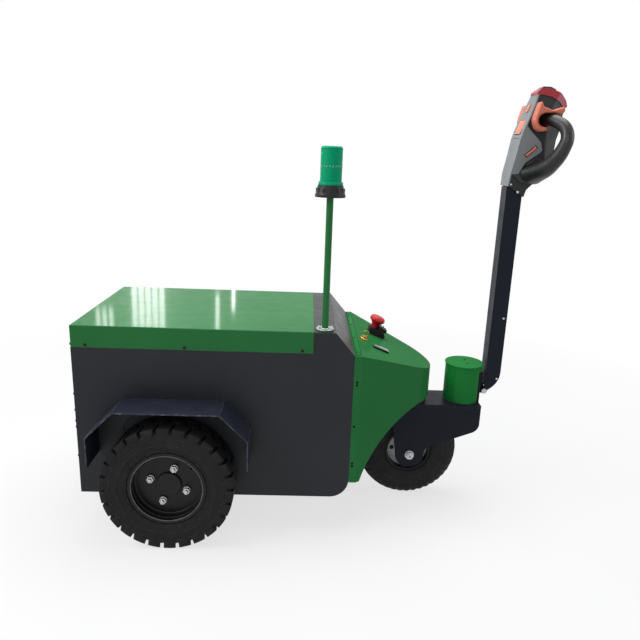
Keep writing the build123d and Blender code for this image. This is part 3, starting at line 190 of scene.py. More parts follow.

# The parts' material slots: colour, roughness, colour of lighter edges (wear, and on some finishes a
# painted highlight), and the rest.
FINISHES = {
    "body_dark": ((29, 31, 36), 0.45, (84, 86, 92),
                  dict(edge_wear_and_highlight_amount=0.35, dust=0.05, ripple=0.25, grain_depth=0.03, specular=0.25)),
    "cover_green": ((34, 105, 53), 0.38, WORN_GREEN,
                    dict(SMOOTH_PAINT, edge_wear_and_highlight_amount=0.4, ripple=0.25, coat=0.22, specular=0.02)),
    # The fork's lighter edges: some wear, raised to paint the highlight along the top plate's edge.
    "fork_dark": ((25, 29, 38), 0.4, (86, 88, 98), dict(edge_wear_and_highlight_amount=0.6, dust=0.04, specular=0.09)),
    # The tyres' pale edges: partly wear, partly a painted highlight on the lugs' edges.
    "tyre_rubber": ((19, 19, 21), 0.7, (86, 85, 84),
                    dict(drift=0.2, grain=500.0, grain_depth=0.12, edge_wear_and_highlight_amount=0.9, dust=0.1,
                         specular=0.22)),
    "rim_black": ((10, 10, 12), 0.38, (90, 90, 92), dict(dust=0.02, specular=0.25)),
    "rim_grey": ((168, 174, 172), 0.42, STEEL, dict(metal=0.1, dust=0.1)),
    "cast_iron": ((46, 46, 48), 0.6, PRIMER, dict(grain=260.0, grain_depth=0.25, dust=0.25)),
    "motor_grey": ((64, 66, 70), 0.5, STEEL, dict(dust=0.1)),
    "battery_case": ((28, 28, 30), 0.55, PRIMER, dict(grain_depth=0.05)),
    "black_plastic": ((17, 17, 19), 0.4, (60, 60, 60),
                      dict(grain=1400.0, grain_depth=0.03, dust=0.03, specular=0.25)),
    "beacon_green": ((0, 146, 102), 0.38, (40, 190, 150), dict(drift=0.14, edge=0.5, specular=0.08)),
    "stop_red": ((168, 14, 24), 0.38, (215, 85, 85), dict(coat=0.15, specular=0.3)),
    "key_brass": ((176, 130, 62), 0.2, (225, 200, 140), dict(metal=1.0)),
    "meter_black": ((12, 12, 14), 0.15, (60, 60, 60), dict(coat=0.5)),
    "pin_steel": ((178, 179, 181), 0.38, (225, 225, 227), dict(metal=1.0, grain_depth=0.05, dust=0.05)),
    "head_dark": ((28, 31, 32), 0.45, (78, 80, 82), dict(grain=1600.0, grain_depth=0.06, specular=0.3)),
    "head_grey": ((120, 124, 127), 0.5, (160, 163, 165),
                  dict(grain=1600.0, grain_depth=0.05, specular=0.3)),
    "bumper_red": ((146, 24, 40), 0.38, (190, 85, 90),
                   dict(grain=1200.0, grain_depth=0.04, specular=0.4, coat=0.15)),
    "grip_black": ((15, 15, 17), 0.38, (70, 70, 72), dict(grain=1600.0, grain_depth=0.05, specular=0.42)),
    "throttle_orange": ((196, 104, 80), 0.42, (222, 150, 128),
                        dict(grain=1200.0, grain_depth=0.03, edge=2.0)),
    # Finishes of single pieces, inside the slots above.
    # The fender's pale edges are a painted highlight along the sheet's edges.
    "fender_dark_highlit_edges": ((29, 32, 44), 0.38, (150, 154, 165),
                    dict(edge_wear_and_highlight_amount=0.8, edge=1.6, dust=0.05, ripple=0.2, specular=0.3)),
    "accent_salmon": ((215, 120, 92), 0.4, (235, 170, 150), {}),
    # Dark joints and seams; also painted shade in holes and slots, and a painted shadow line at the nose's
    # bend.
    "dark_gaps_and_painted_shade": ((10, 10, 11), 0.8, None, dict(drift=0.15, specular=0.2)),
    # Grey painted as a highlight on the stop button's contact block.
    "painted_highlight_grey": ((105, 112, 112), 0.4, PRIMER, {}),
    # Pale colour painted as glints and highlights, on the beacon's lens and the meter.
    "painted_highlight_pale": ((180, 190, 196), 0.2, PRIMER, {}),
    # Lighter grey painted as the highlight on the rear rims' lip, with a glossy coat.
    "rim_lip": ((52, 53, 56), 0.2, STEEL, dict(grain_depth=0.01, dust=0.02, coat=0.3)),
    "crest_dark": ((62, 50, 54), 0.5, (110, 95, 98), dict(grain=1200.0)),
    "cowl_dark": ((38, 40, 44), 0.38, (120, 122, 126),
                  dict(dust=0.08, ripple=0.1, grain=220.0, grain_depth=0.01, specular=0.2, coat=0.02)),
    "drum_green": ((24, 112, 49), 0.38, WORN_GREEN,
                   dict(SMOOTH_PAINT, ripple=0.1, coat=0.13, specular=0.0)),
    "nose_green": ((38, 106, 56), 0.38, WORN_GREEN,
                   dict(SMOOTH_PAINT, edge_wear_and_highlight_amount=0.4, ripple=0.25, coat=0.09, specular=0.0)),
}
MATERIALS = {name: finish_material(name, colour, rough, edge_wear_and_highlight, **rest)
             for name, (colour, rough, edge_wear_and_highlight, rest) in FINISHES.items()}
OWN_FINISH = {"fender_left": "fender_dark_highlit_edges", "fender_right": "fender_dark_highlit_edges", "cowl_cap": "cowl_dark",
              "drum_shell": "drum_green", "drum_lid": "drum_green", "nose_cover": "nose_green"}


def dress_solids():
    """Give each CAD solid the finish of its slot, or its own."""
    for node, thing in CAD.items():
        for spot in thing.material_slots:
            wanted = OWN_FINISH.get(node, spot.material.name.split(".")[0])
            spot.material = MATERIALS.get(wanted, spot.material)


# ---------------------------------------------------------------- frames
def from_axes(u, v, w, origin):
    """Frame with three axes and an origin in metres."""
    rows = [(u[k], v[k], w[k], origin[k]) for k in range(3)]
    return Matrix((*rows, (0, 0, 0, 1)))


def basis(origin, axis, up=UP):
    """Frame whose third axis runs along a direction."""
    w = Vector(axis).normalized()
    helper = Vector(up)
    if abs(helper.normalized().dot(w)) > 0.98:
        helper = Vector((1, 0, 0))
    u = helper.cross(w).normalized()
    return from_axes(u, w.cross(u), w, origin)


def facing(x, y, z, axis):
    """basis() at a point in mm."""
    return basis(place(x, y, z), axis)


def side_frame(side, point=(0, 0, 0)):
    """Frame on the left (1) or right (-1): x forward, y up, z outwards."""
    return from_axes((1, 0, 0), UP, (0, side, 0), place(*point))


def moved(matrix, x, y=0.0, z=0.0):
    return matrix @ Matrix.Translation((x * MM, y * MM, z * MM))


def spun(matrix, degrees, axis="Z"):
    return matrix @ Matrix.Rotation(math.radians(degrees), 4, axis)


# ---------------------------------------------------------------- meshes
def link(name, bm):
    """Turn a bmesh into an object of the scene."""
    mesh = bpy.data.meshes.new(name)
    bm.to_mesh(mesh)
    bm.free()
    thing = bpy.data.objects.new(name, mesh)
    bpy.context.scene.collection.objects.link(thing)
    return thing


def piece(name, bm, body, slot, finish=None, replaces=(), smooth_angle=35.0):
    """Link a bmesh as one piece of the object, in its slot's finish or one of its own."""
    bmesh.ops.recalc_face_normals(bm, faces=bm.faces)
    thing = link(name, bm)
    mesh = thing.data
    mesh.materials.append(MATERIALS[finish or slot])
    mesh.polygons.foreach_set("use_smooth", [True] * len(mesh.polygons))
    mesh.set_sharp_from_angle(angle=math.radians(smooth_angle))
    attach(thing, body)
    if replaces:
        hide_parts(*replaces)
    return thing


def skin(bm, rings, closed=False, capped=False):
    """Join each ring of vertices to the next. A ring of one vertex is a point."""
    faces = []
    for a, b in zip(rings, rings[1:] + rings[:1] if closed else rings[1:]):
        count = max(len(a), len(b))
        for k in range(count):
            j = (k + 1) % count
            corners = (a[k % len(a)], a[j % len(a)], b[j % len(b)], b[k % len(b)])
            faces.append(bm.faces.new(list(dict.fromkeys(corners))))
    if capped:
        faces += [bm.faces.new(rings[0][::-1]), bm.faces.new(rings[-1])]
    return faces


def circle(bm, matrix, radius, height, steps):
    """Ring of vertices about the matrix's third axis."""
    r, z = radius * MM, height * MM
    turns = [2 * math.pi * k / steps for k in range(steps)]
    return [bm.verts.new(matrix @ Vector((r * math.cos(t), r * math.sin(t), z))) for t in turns]


def lathe(bm, profile, matrix, steps=48):
    """Turn (radius, height) rows about the matrix's third axis."""
    skin(bm, [circle(bm, matrix, radius, height, steps if radius else 1) for radius, height in profile])


def prism(bm, corners, matrix, low, high, bevel=0.0, segments=2):
    """Outline in the matrix's first two axes, raised along the third, its edges rounded."""
    rings = [[bm.verts.new(matrix @ Vector((u * MM, v * MM, level * MM))) for u, v in corners]
             for level in (low, high)]
    faces = skin(bm, rings, capped=True)
    if bevel:
        edges = list(dict.fromkeys(edge for face in faces for edge in face.edges))
        bmesh.ops.bevel(bm, geom=edges, offset=bevel * MM, segments=segments, affect="EDGES", profile=0.5)


def hexagon(across):
    """Corners of a hexagon of a width across its flats."""
    r = across / math.sqrt(3)
    return [(r * math.cos(math.pi * k / 3), r * math.sin(math.pi * k / 3)) for k in range(6)]


def rectangle(length, width):
    u, v = length / 2, width / 2
    return [(-u, -v), (u, -v), (u, v), (-u, v)]


def hex_bolt(bm, matrix, across, height, washer):
    """Hexagon head on a washer of a radius."""
    lathe(bm, [(0, 0), (washer, 0), (washer, 1.6), (0, 1.6)], matrix, 32)
    prism(bm, hexagon(across), matrix, 1.4, 1.6 + height, bevel=0.7)


def thread(bm, matrix, crest, root, tip, low, high, pitch):
    """Threaded end of a stud."""
    rows = [(0, low)]
    for k in range(round((high - low) / pitch)):
        rows += [(crest, low + pitch * k), (root, low + pitch * (k + 0.5))]
    lathe(bm, rows + [(tip, high), (0, high)], matrix, 24)


def pan_screw(bm, matrix, radius, height):
    """Domed screw head with a socket."""
    lathe(bm, [(radius, 0), (radius, height * 0.4), (radius * 0.8, height * 0.85), (radius * 0.45, height),
               (radius * 0.4, height * 0.5), (0, height * 0.5)], matrix, 24)


def rounded(points, radius):
    """Points along a path whose corners are replaced by arcs."""
    out = [Vector(points[0])]
    for k in range(1, len(points) - 1):
        p = Vector(points[k])
        back, ahead = Vector(points[k - 1]) - p, Vector(points[k + 1]) - p
        half = back.angle(ahead) / 2
        reach = min(radius / math.tan(half), back.length * 0.5, ahead.length * 0.5)
        a, b = p + back.normalized() * reach, p + ahead.normalized() * reach
        count = max(3, int(reach / 2))
        for j in range(count + 1):
            t = j / count
            out.append(a * (1 - t) ** 2 + p * 2 * t * (1 - t) + b * t * t)
    out.append(Vector(points[-1]))
    return out


def resample(points, count):
    """Evenly spaced points along a polyline."""
    runs = [0.0]
    for a, b in zip(points, points[1:]):
        runs.append(runs[-1] + (b - a).length)
    out, k = [], 0
    for i in range(count):
        goal = runs[-1] * i / (count - 1)
        while k < len(points) - 2 and runs[k + 1] < goal:
            k += 1
        t = (goal - runs[k]) / max(1e-6, runs[k + 1] - runs[k])
        out.append(points[k].lerp(points[k + 1], min(1.0, max(0.0, t))))
    return out


def row_pair(rows, at):
    """The two rows of a table that a value of its first column lies between."""
    for low, high in zip(rows, rows[1:]):
        if at <= high[0]:
            break
    return low, high


WELD_STEP, WELD_PITCH = 2.0, 5.0


def weld(bm, points, radius):
    """Bead of overlapping ripples along a line."""
    points = [Vector(p) for p in points]
    length = sum((b - a).length for a, b in zip(points, points[1:]))
    line = resample(points, 2 + int(length / WELD_STEP))
    rings = []
    for i, p in enumerate(line):
        onward = (line[min(i + 1, len(line) - 1)] - line[max(i - 1, 0)]).normalized()
        ripple = 0.14 * math.cos(2 * math.pi * i * WELD_STEP / WELD_PITCH)
        r = radius * (0.86 + ripple + random.uniform(-0.04, 0.04))
        rings.append(circle(bm, facing(*p, onward), r, 0.0, 8))
    skin(bm, rings, capped=True)


# ---------------------------------------------------------------- body's fastenings
def on_disc(side, radius, degrees):
    """Frame on a rear wheel's disc, facing out."""
    t = math.radians(degrees)
    x, z = radius * math.cos(t), REAR_R + radius * math.sin(t)
    return facing(x, side * (REAR_Y + REAR_DISC), z, (0, side, 0))


def wheel_nuts(side, word):
    """Four plated nuts on dark washers, with their studs' ends."""
    nuts, washers = bmesh.new(), bmesh.new()
    for k in range(4):
        m = on_disc(side, STUD_R, STUD_TURN - 90 * k)
        lathe(washers, [(0, 0), (13, 0), (13, 2.4), (0, 2.4)], m, 32)
        lathe(nuts, [(10.4, 2.4), (11.6, 2.6), (11.6, 4.2), (9.6, 5.0), (0, 5.0)], m, 32)
        prism(nuts, hexagon(19.6), m, 4.6, 13.2, bevel=0.8)
        thread(nuts, m, 6.3, 5.6, 5.0, 13.0, 21.4, 1.4)
    piece(f"wheel_nuts_{word}", nuts, f"rear_wheel_{word}", "pin_steel")
    piece(f"wheel_washers_{word}", washers, f"rear_wheel_{word}", "rim_black")


def cover_screws():
    """Screws of the cover's sides and of the back."""
    bm = bmesh.new()
    for side in (-1, 1):
        for x in (-250, 43, 394):
            pan_screw(bm, facing(x, side * BODY_SIDE, 615, (0, side, 0)), 5.0, 2.6)
    for z in (456, 403, 367, 347, 250, 615):
        for side in (-1, 1):
            pan_screw(bm, facing(-293, side * 262, z, BACK), 4.5, 4.5)
    piece("cover_screws", bm, "chassis", "black_plastic")


def nose_holes():
    """Holes in pairs along the nose's side flanges, drawn as dark discs: painted shade, no opening is cut.
    """
    bm = bmesh.new()
    for side in (-1, 1):
        for x, z in ((563, 509), (563, 519), (561, 236), (561, 246), (561, 372)):
            m = facing(x, side * BODY_SIDE, z, (0, side, 0))
            lathe(bm, [(0, 0.25), (3.2, 0.25), (4.2, 0.15), (4.2, -0.6), (0, -0.6)], m, 20)
    piece("nose_holes", bm, "chassis", "body_dark", "dark_gaps_and_painted_shade")


def lid_screws():
    """Two sunk screws in the drum's lid."""
    bm = bmesh.new()
    for x, y in ((968, 23), (967, -17)):
        lathe(bm, [(0, 0.3), (4.2, 0.3), (5.0, 0.0), (5.0, -1), (0, -1)], facing(x, y, 503, UP), 24)
    piece("lid_screws", bm, "fork", "fork_dark", "dark_gaps_and_painted_shade")


# ---------------------------------------------------------------- tiller head
# Tables of the head: height above the arm's shoulder, then distance ahead of its rear face.
GRIP_R, GRIP_BEND, GRIP_RINGS, GRIP_STEPS = 18.0, 90.0, 72, 40
GRIP_FOOT = 0.72     # share of the loop after which its section turns oval
GRIP_CORNERS = ((205, 83.4, 33), (206.1, 101.4, 84.9), (182.1, 126.6, 125.1), (147.9, 131.4, 140.1),
                (98.1, 116.1, 126.9), (60.9, 95.1, 92.1), (42, 74.1, 33))     # third: outwards
GRIP_SWELL = ((0.0, 1.0), (0.3, 1.02), (0.42, 1.06), (0.52, 1.14), (0.62, 1.25), (0.72, 1.38), (0.84, 1.54),
              (0.93, 1.72), (1.0, 1.9))     # share of the loop, radius in GRIP_R
WING = ((38.1, 2.1), (99.9, 12.9), (147.9, 20.1), (177, 27.9), (195.9, 35.1), (183.9, 38.1), (168, 54),
        (150.9, 72.9), (138.9, 84.9), (116.1, 92.1), (108.9, 87.9), (75.9, 44.1), (42, 27))
GRIP_ROOT = ((39, 6), (40, 28), (73, 46), (98, 76), (84, 104), (56, 108), (30, 92), (10, 66), (14, 34))
PANEL_FACE = ((2, -1), (41, 2), (100, 13), (148, 20), (177, 28), (210, 40), (248, 53), (280, 63))
CREST = ((296.0, 72.0), (301.0, 76.0), (306.2, 84.0), (306.2, 104.0), (302.6, 114.5), (298.2, 122.5))


def head_point(along, forward, out=0.0):
    """Point of the head, in mm, for facing() and place()."""
    return ARM_REAR + forward, out, SHOULDER + along


def head_outline(rows):
    """Side view outline, for a side_frame()."""
    return [(ARM_REAR + forward, SHOULDER + along) for along, forward in rows]


def cut(thing, cutter):
    """Take a bmesh's volume out of a piece for good."""
    bmesh.ops.recalc_face_normals(cutter, faces=cutter.faces)
    tool = link("cutter", cutter)
    change = thing.modifiers.new("cut", "BOOLEAN")
    change.operation = "DIFFERENCE"
    change.solver = "EXACT"
    change.object = tool
    shown = thing.evaluated_get(bpy.context.evaluated_depsgraph_get())
    made = bpy.data.meshes.new_from_object(shown)
    thing.modifiers.clear()
    thing.data = made
    made.set_sharp_from_angle(angle=math.radians(35))
    bpy.data.objects.remove(tool)


def grip_loop(side, word):
    """Closed grip loop, swelling to an oval foot, cut along the panel's wing."""
    corners = [head_point(along, forward, side * out) for along, forward, out in GRIP_CORNERS]
    path = resample(rounded(corners, GRIP_BEND), GRIP_RINGS)
    last = GRIP_RINGS - 1
    bm = bmesh.new()
    rings = []
    for i, p in enumerate(path):
        onward = (path[min(i + 1, last)] - path[max(i - 1, 0)]).normalized()
        share = i / last
        (share_0, swell_0), (share_1, swell_1) = row_pair(GRIP_SWELL, share)
        radius = GRIP_R * (swell_0 + (swell_1 - swell_0) * (share - share_0) / (share_1 - share_0))
        oval = max(0.0, share - GRIP_FOOT) / (1 - GRIP_FOOT)
        u = (Vector((1, 0, 0)) - onward * onward.x).normalized() * radius * (1 + 0.28 * oval)
        v = onward.cross(u).normalized() * radius * (1 - 0.06 * oval)
        turns = [2 * math.pi * j / GRIP_STEPS for j in range(GRIP_STEPS)]
        rings.append([bm.verts.new(place(*(p + u * math.cos(t) + v * math.sin(t)))) for t in turns])
    skin(bm, rings, capped=True)
    loop = piece(f"grip_loop_{word}", bm, "tiller", "grip_black", replaces=(f"grip_{word}",),
                 smooth_angle=40.0)
    cutter = bmesh.new()
    prism(cutter, head_outline(WING), side_frame(side), 20, 140)
    cut(loop, cutter)


def throttle(word):
    """A throttle's solid, remeshed finely and smoothed round as a moulding."""
    node = f"throttle_{word}"
    thing = CAD[node].copy()
    thing.data = CAD[node].data.copy()
    bpy.context.scene.collection.objects.link(thing)
    fine = thing.modifiers.new("fine", "REMESH")
    fine.mode = "VOXEL"
    fine.voxel_size = 0.0011
    smooth = thing.modifiers.new("smooth", "SMOOTH")
    smooth.factor = 0.5
    smooth.iterations = 80
    shown = thing.evaluated_get(bpy.context.evaluated_depsgraph_get())
    bm = bmesh.new()
    bm.from_mesh(bpy.data.meshes.new_from_object(shown))
    bm.transform(thing.matrix_world)
    bpy.data.objects.remove(thing)
    piece(f"throttle_moulded_{word}", bm, "tiller", "throttle_orange", replaces=(node,), smooth_angle=60.0)


def grip_roots():
    """Shell below each wing, from which the grip's foot grows."""
    bm = bmesh.new()
    for side in (1, -1):
        prism(bm, head_outline(GRIP_ROOT), side_frame(side), 28, 43.5, bevel=4.5, segments=4)
    piece("grip_roots", bm, "tiller", "grip_black", smooth_angle=40.0)


def on_face(along):
    """Frame on the panel's rear face at a height above the shoulder: x to the right seen from behind,
    y up the face, z out of it."""
    (along_0, forward_0), (along_1, forward_1) = row_pair(PANEL_FACE, along)
    forward = forward_0 + (forward_1 - forward_0) * (along - along_0) / (along_1 - along_0)
    up = Vector((forward_1 - forward_0, 0, along_1 - along_0)).normalized()
    out = Vector((-up.z, 0, up.x))
    return from_axes(up.cross(out), up, out, place(*head_point(along, forward)))


def on_side(along, forward, side, out):
    """Frame on the head's side."""
    return side_frame(side, head_point(along, forward, side * out))


def head_trim():
    """Salmon inserts, dark seams and slots, and screws of the head."""
    insert, seams = bmesh.new(), bmesh.new()
    prism(insert, [(-26, -22), (24, -22), (24, 22), (-26, 22)], on_face(184), -1.5, 0.7, bevel=0.6)
    prism(insert, [(-9, -12), (7, -12), (7, 12), (-9, 12)], on_face(240), -1.5, 4.0, bevel=1.8)
    piece("panel_insert", insert, "tiller", "throttle_orange", "accent_salmon")
    border = [(-27.2, -23.2), (25.2, -23.2), (25.2, 23.2), (-27.2, 23.2)]
    prism(seams, border, on_face(184), -1.5, 0.25, bevel=0.2)
    prism(seams, [(-30, -0.5), (30, -0.5), (30, 0.5), (-30, 0.5)], on_face(150), -1.0, 0.15)
    piece("panel_seams", seams, "tiller", "head_dark", "dark_gaps_and_painted_shade")

    slots, rims = bmesh.new(), bmesh.new()
    bar = [(-20, -3.6), (14, -3.6), (20, -3.6), (20, 4.6), (13, 4.6), (11, 2.4), (-20, 2.4)]
    for side in (-1, 1):
        slant = spun(on_side(111, 57, side, 47.4), 41)
        prism(slots, bar, slant, -0.4, 1.1, bevel=0.5)
        prism(rims, [(-22.4, -5.4), (22.4, -5.4), (22.4, 6.4), (-22.4, 4.4)], slant, -0.4, 0.75, bevel=0.3)
    piece("wing_slots", slots, "tiller", "throttle_orange", "accent_salmon")
    piece("wing_slot_rims", rims, "tiller", "head_dark", "dark_gaps_and_painted_shade")

    screws = bmesh.new()
    for side in (-1, 1):
        pan_screw(screws, on_side(8, 9, side, 38.0), 3.6, 1.8)
        pan_screw(screws, on_side(-15, 34, side, 35.2), 4.2, 2.0)
    piece("head_screws", screws, "tiller", "pin_steel")


def bumper_crest():
    """Dark rib over the bumper's band."""
    half_width, depth = 18.2, 9.0
    bm = bmesh.new()
    rings = []
    for along, forward in CREST:
        x, _, top = head_point(along - 0.25, forward)
        foot = top - depth
        corners = ((half_width, top), (-half_width, top), (-half_width, foot), (half_width, foot))
        rings.append([bm.verts.new(place(x, y, z)) for y, z in corners])
    skin(bm, rings, capped=True)
    piece("bumper_crest", bm, "tiller", "bumper_red", "crest_dark")


# ---------------------------------------------------------------- beacon
def beacon():
    """Ribbed lens with a band of pale marks painted on as glints, on a flared skirt."""
    lens = middle("beacon_lens")
    low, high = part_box("beacon_lens")
    height = (high[2] - low[2]) / MM
    m = Matrix.Translation((lens.x, lens.y, low[2]))
    rows = [(0, 0.2), (35.3, 0.2), (35.3, 7.6), (34.2, 8.8), (31.2, 9.2)]
    z = 11.0
    while z < height - 11:
        rows += [(31.3, z), (30.9, z + 1.2), (30.9, z + 2.4), (31.3, z + 3.6)]
        z += 4.2
    rows += [(31.3, height - 9), (30.6, height - 4.5), (27.8, height - 1.4), (23.0, height - 0.4),
             (14.0, height - 1.6), (0, height - 1.8)]
    bm = bmesh.new()
    lathe(bm, rows, m, 64)
    piece("lens_ribbed", bm, "chassis", "beacon_green", replaces=("beacon_lens",), smooth_angle=50.0)

    # Pale marks painted on the lens as glints of its facets.
    bm = bmesh.new()
    marks = 22
    for k in range(marks):
        spot = spun(moved(spun(m, 360 * k / marks), 31.1, 0, 52), random.choice((-35, 0, 35, 70)), "X")
        prism(bm, rectangle(0.9, 1.1), spot, -3.6, 3.6, bevel=0.3)
    piece("lens_painted_glints", bm, "chassis", "beacon_green", "painted_highlight_pale")

    base = Matrix.Translation((lens.x, lens.y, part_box("beacon_base")[0][2]))
    bm = bmesh.new()
    lathe(bm, [(0, 0.3), (43.7, 0.3), (43.9, 2.0), (43.9, 7.0), (43.2, 8.8), (42.3, 9.6), (41.0, 16.0),
               (39.0, 24.0), (37.2, 30.0), (36.6, 33.8), (0, 33.8)], base, 64)
    ribs = 12
    for k in range(ribs):
        spot = moved(spun(base, 360 * k / ribs), 40.5, 0, 17.6)
        prism(bm, rectangle(2.4, 7.0), spot, -6.0, 8.0, bevel=0.9)
    piece("beacon_skirt", bm, "chassis", "black_plastic", replaces=("beacon_base",), smooth_angle=40.0)


def pole_foot():
    """Plated ring round the pole's foot, with a nut ahead of it and one behind."""
    lens = middle("beacon_lens")
    x, y = (lens.x - AXLE) / MM, lens.y / MM
    ring, nuts = bmesh.new(), bmesh.new()
    lathe(ring, [(10.3, 4.7), (26.7, 4.7), (27.0, 5.0), (26.6, 5.6), (12.0, 5.7), (10.6, 7.4), (10.3, 7.4)],
          facing(x, y, 673, UP), 48)
    piece("pole_foot_ring", ring, "chassis", "pin_steel")
    for dx in (-18.5, 18.5):
        m = facing(x + dx, y - 3, 678.5, UP)
        hex_bolt(nuts, m, 9.0, 4.5, washer=6.6)
        thread(nuts, m, 2.61, 2.349, 2.088, 4.5, 8.1, 1.2)
    piece("pole_foot_nuts", nuts, "chassis", "pin_steel")


# ---------------------------------------------------------------- controls on the nose
def on_nose(ahead, y):
    """Frame on the nose's slope: x down the slope, y to the left, z out of it."""
    c, s = math.cos(NOSE_SLOPE), math.sin(NOSE_SLOPE)
    spot = place(NOSE_BEND_X + ahead, y, NOSE_TOP - math.tan(NOSE_SLOPE) * ahead)
    return from_axes((c, 0, -s), (0, 1, 0), (s, 0, c), spot)


def stop_button():
    """Mushroom button on its collar, with the contact block ahead of it."""
    m = on_nose(61, 70)
    button, black, patch = bmesh.new(), bmesh.new(), bmesh.new()
    dome = [(0, 22.2), (12.9, 22.2), (12.9, 34), (14.5, 38), (18.5, 43.5), (23.5, 47.0), (26.6, 49.5),
            (27.4, 52.5), (27.2, 56.5), (25.8, 60.5), (22.5, 64.2), (16.0, 66.8), (8.0, 67.8), (0, 67.9)]
    lathe(button, dome, m, 64)
    piece("stop_button", button, "chassis", "stop_red", replaces=("estop_knob",), smooth_angle=50.0)
    prism(black, rectangle(26, 34), moved(m, 33), 21.0, 33.0, bevel=1.6)
    for y in (-14, 14):
        pan_screw(black, moved(m, 34, y, 12.5), 3.0, 26.0)
    lathe(black, [(13.3, 20.5), (19.5, 20.5), (19.5, 23.5), (17.5, 25.5), (13.3, 25.5)], m, 48)
    piece("stop_contacts", black, "chassis", "black_plastic")
    # A lighter grey patch on the block's top, painted as a highlight.
    prism(patch, rectangle(10, 14), moved(m, 33, -9), 33.0, 33.6, bevel=0.4)
    piece("stop_highlight_patch", patch, "chassis", "black_plastic", "painted_highlight_grey")


def key_and_ring():
    """Key switch with its key, on which a split ring stands."""
    m = on_nose(23, -55)
    bm = bmesh.new()
    lathe(bm, [(0, 0.1), (13.8, 0.1), (14.0, 1.0), (13.6, 3.0), (11.8, 4.8), (9.6, 5.0), (9.3, 4.2),
               (9.3, 9.2), (8.4, 10.0), (5.0, 10.0), (4.6, 8.6), (0, 8.6)], m, 48)
    upright = spun(moved(m, 0, 0, 19.5), 90, "X")
    ring_r, wire_r, ring_steps, wire_steps = 9.2, 1.25, 40, 10
    rings = []
    for i in range(ring_steps):
        t = 2 * math.pi * i / ring_steps
        rings.append([])
        for j in range(wire_steps):
            w = 2 * math.pi * j / wire_steps
            r = (ring_r + wire_r * math.cos(w)) * MM
            spot = Vector((r * math.cos(t), 1.05 * r * math.sin(t), wire_r * MM * math.sin(w)))
            rings[-1].append(bm.verts.new(upright @ spot))
    skin(bm, rings, closed=True)
    prism(bm, rectangle(6.5, 2.2), m, 8.0, 12.5, bevel=0.3)
    piece("key_and_ring", bm, "chassis", "key_brass", replaces=("key_switch",), smooth_angle=45.0)


def meter():
    """Pale band painted on as a highlight, and black bezel of the battery meter."""
    m = on_nose(75, -100)
    band, bezel = bmesh.new(), bmesh.new()
    prism(band, rectangle(40, 5.0), moved(m, -2, 5), 6.0, 6.7, bevel=0.2)
    piece("meter_painted_highlight", band, "chassis", "meter_black", "painted_highlight_pale")
    prism(bezel, rectangle(52, 24), m, 5.0, 6.4, bevel=0.6)
    piece("meter_face", bezel, "chassis", "meter_black")


def nose_strip():
    """The nose's level strip: a raised flange in a brighter green painted as the light on its level top,
    between a dark joint at the cowl and a dark line painted as the shadow at the bend, with its screws.
    """
    level = Matrix.Translation(place(0, 0, NOSE_TOP))
    flange, gap_and_shadow, screws = bmesh.new(), bmesh.new(), bmesh.new()
    # The flange takes the drum's brighter green: the light on its level top, painted.
    prism(flange, [(557.5, -262), (572.5, -256), (572.5, 256), (557.5, 262)], level, -0.5, 1.6, bevel=0.6)
    piece("nose_strip", flange, "chassis", "cover_green", "drum_green")
    # A dark joint at the cowl's edge.
    prism(gap_and_shadow, [(555.6, -264), (557.0, -264), (557.0, 264), (555.6, 264)], level, -0.5, 0.5)
    # A dark line at the bend, painted as the shadow there.
    prism(gap_and_shadow, [(573.0, -258), (574.2, -258), (574.2, 258), (573.0, 258)], level, -0.5, 0.4)
    piece("nose_gap_and_shadow_lines", gap_and_shadow, "chassis", "cover_green", "dark_gaps_and_painted_shade")
    for y in (-235, -78, 78, 235):
        pan_screw(screws, facing(564.5, y, 603.4, UP), 4.6, 1.8)
    piece("nose_screws", screws, "chassis", "black_plastic")


# ---------------------------------------------------------------- fork, drum and arm
def fork_welds():
    """Welds round the drum's foot, up the pivot bracket and along the fork's top plate."""
    bm = bmesh.new()
    turns = [math.radians(46 + k * 268 / 40) for k in range(41)]
    weld(bm, [(960 + 63 * math.cos(t), 63 * math.sin(t), 367) for t in turns], 1.8)
    for side in (-1, 1):
        weld(bm, [(1004.5, side * 34.5, 368), (1004.5, side * 34.5, 468)], 1.6)
        weld(bm, [(720, side * 60.6, 357), (1008, side * 60.6, 357)], 1.6)
    piece("fork_welds", bm, "fork", "fork_dark")


def arm_screws():
    """Two screws in each side of the arm."""
    bm = bmesh.new()
    for side in (-1, 1):
        for z in (452, 670):
            pan_screw(bm, facing(1072, side * 27, z, (0, side, 0)), 3.6, 1.6)
    piece("arm_screws", bm, "tiller", "pin_steel")


# ---------------------------------------------------------------- wheels
def rear_tyre_relief(side, word):
    """Rings and lug pads on both sidewalls of a rear tyre."""
    bm = bmesh.new()
    for face in (1, -1):
        m = facing(0, side * REAR_Y, REAR_R, (0, side * face, 0))
        for radius, high in ((123.0, 44.2), (129.0, 45.6), (147.5, 49.0), (171.0, 49.0)):
            lathe(bm, [(radius - 1.5, high - 0.6), (radius - 0.7, high + 0.8), (radius + 0.7, high + 0.8),
                       (radius + 1.5, high - 0.6)], m, 160)
        stagger = 0.5 if face > 0 else 0.0
        wall = place(0, side * (REAR_Y + face * REAR_WALL), REAR_R)
        for k in range(REAR_LUGS):
            t = math.radians(FIRST_GROOVE + (k + stagger) * 360 / REAR_LUGS)
            out = Vector((math.cos(t), 0, math.sin(t)))
            pad = basis(wall + out * 0.185, (0, side * face, 0), out)
            prism(bm, [(-12.5, -8.5), (12.5, -8.5), (13.6, 8.5), (-13.6, 8.5)], pad, -0.8, 0.85, bevel=0.7)
    piece(f"tyre_rings_{word}", bm, f"rear_wheel_{word}", "tyre_rubber")


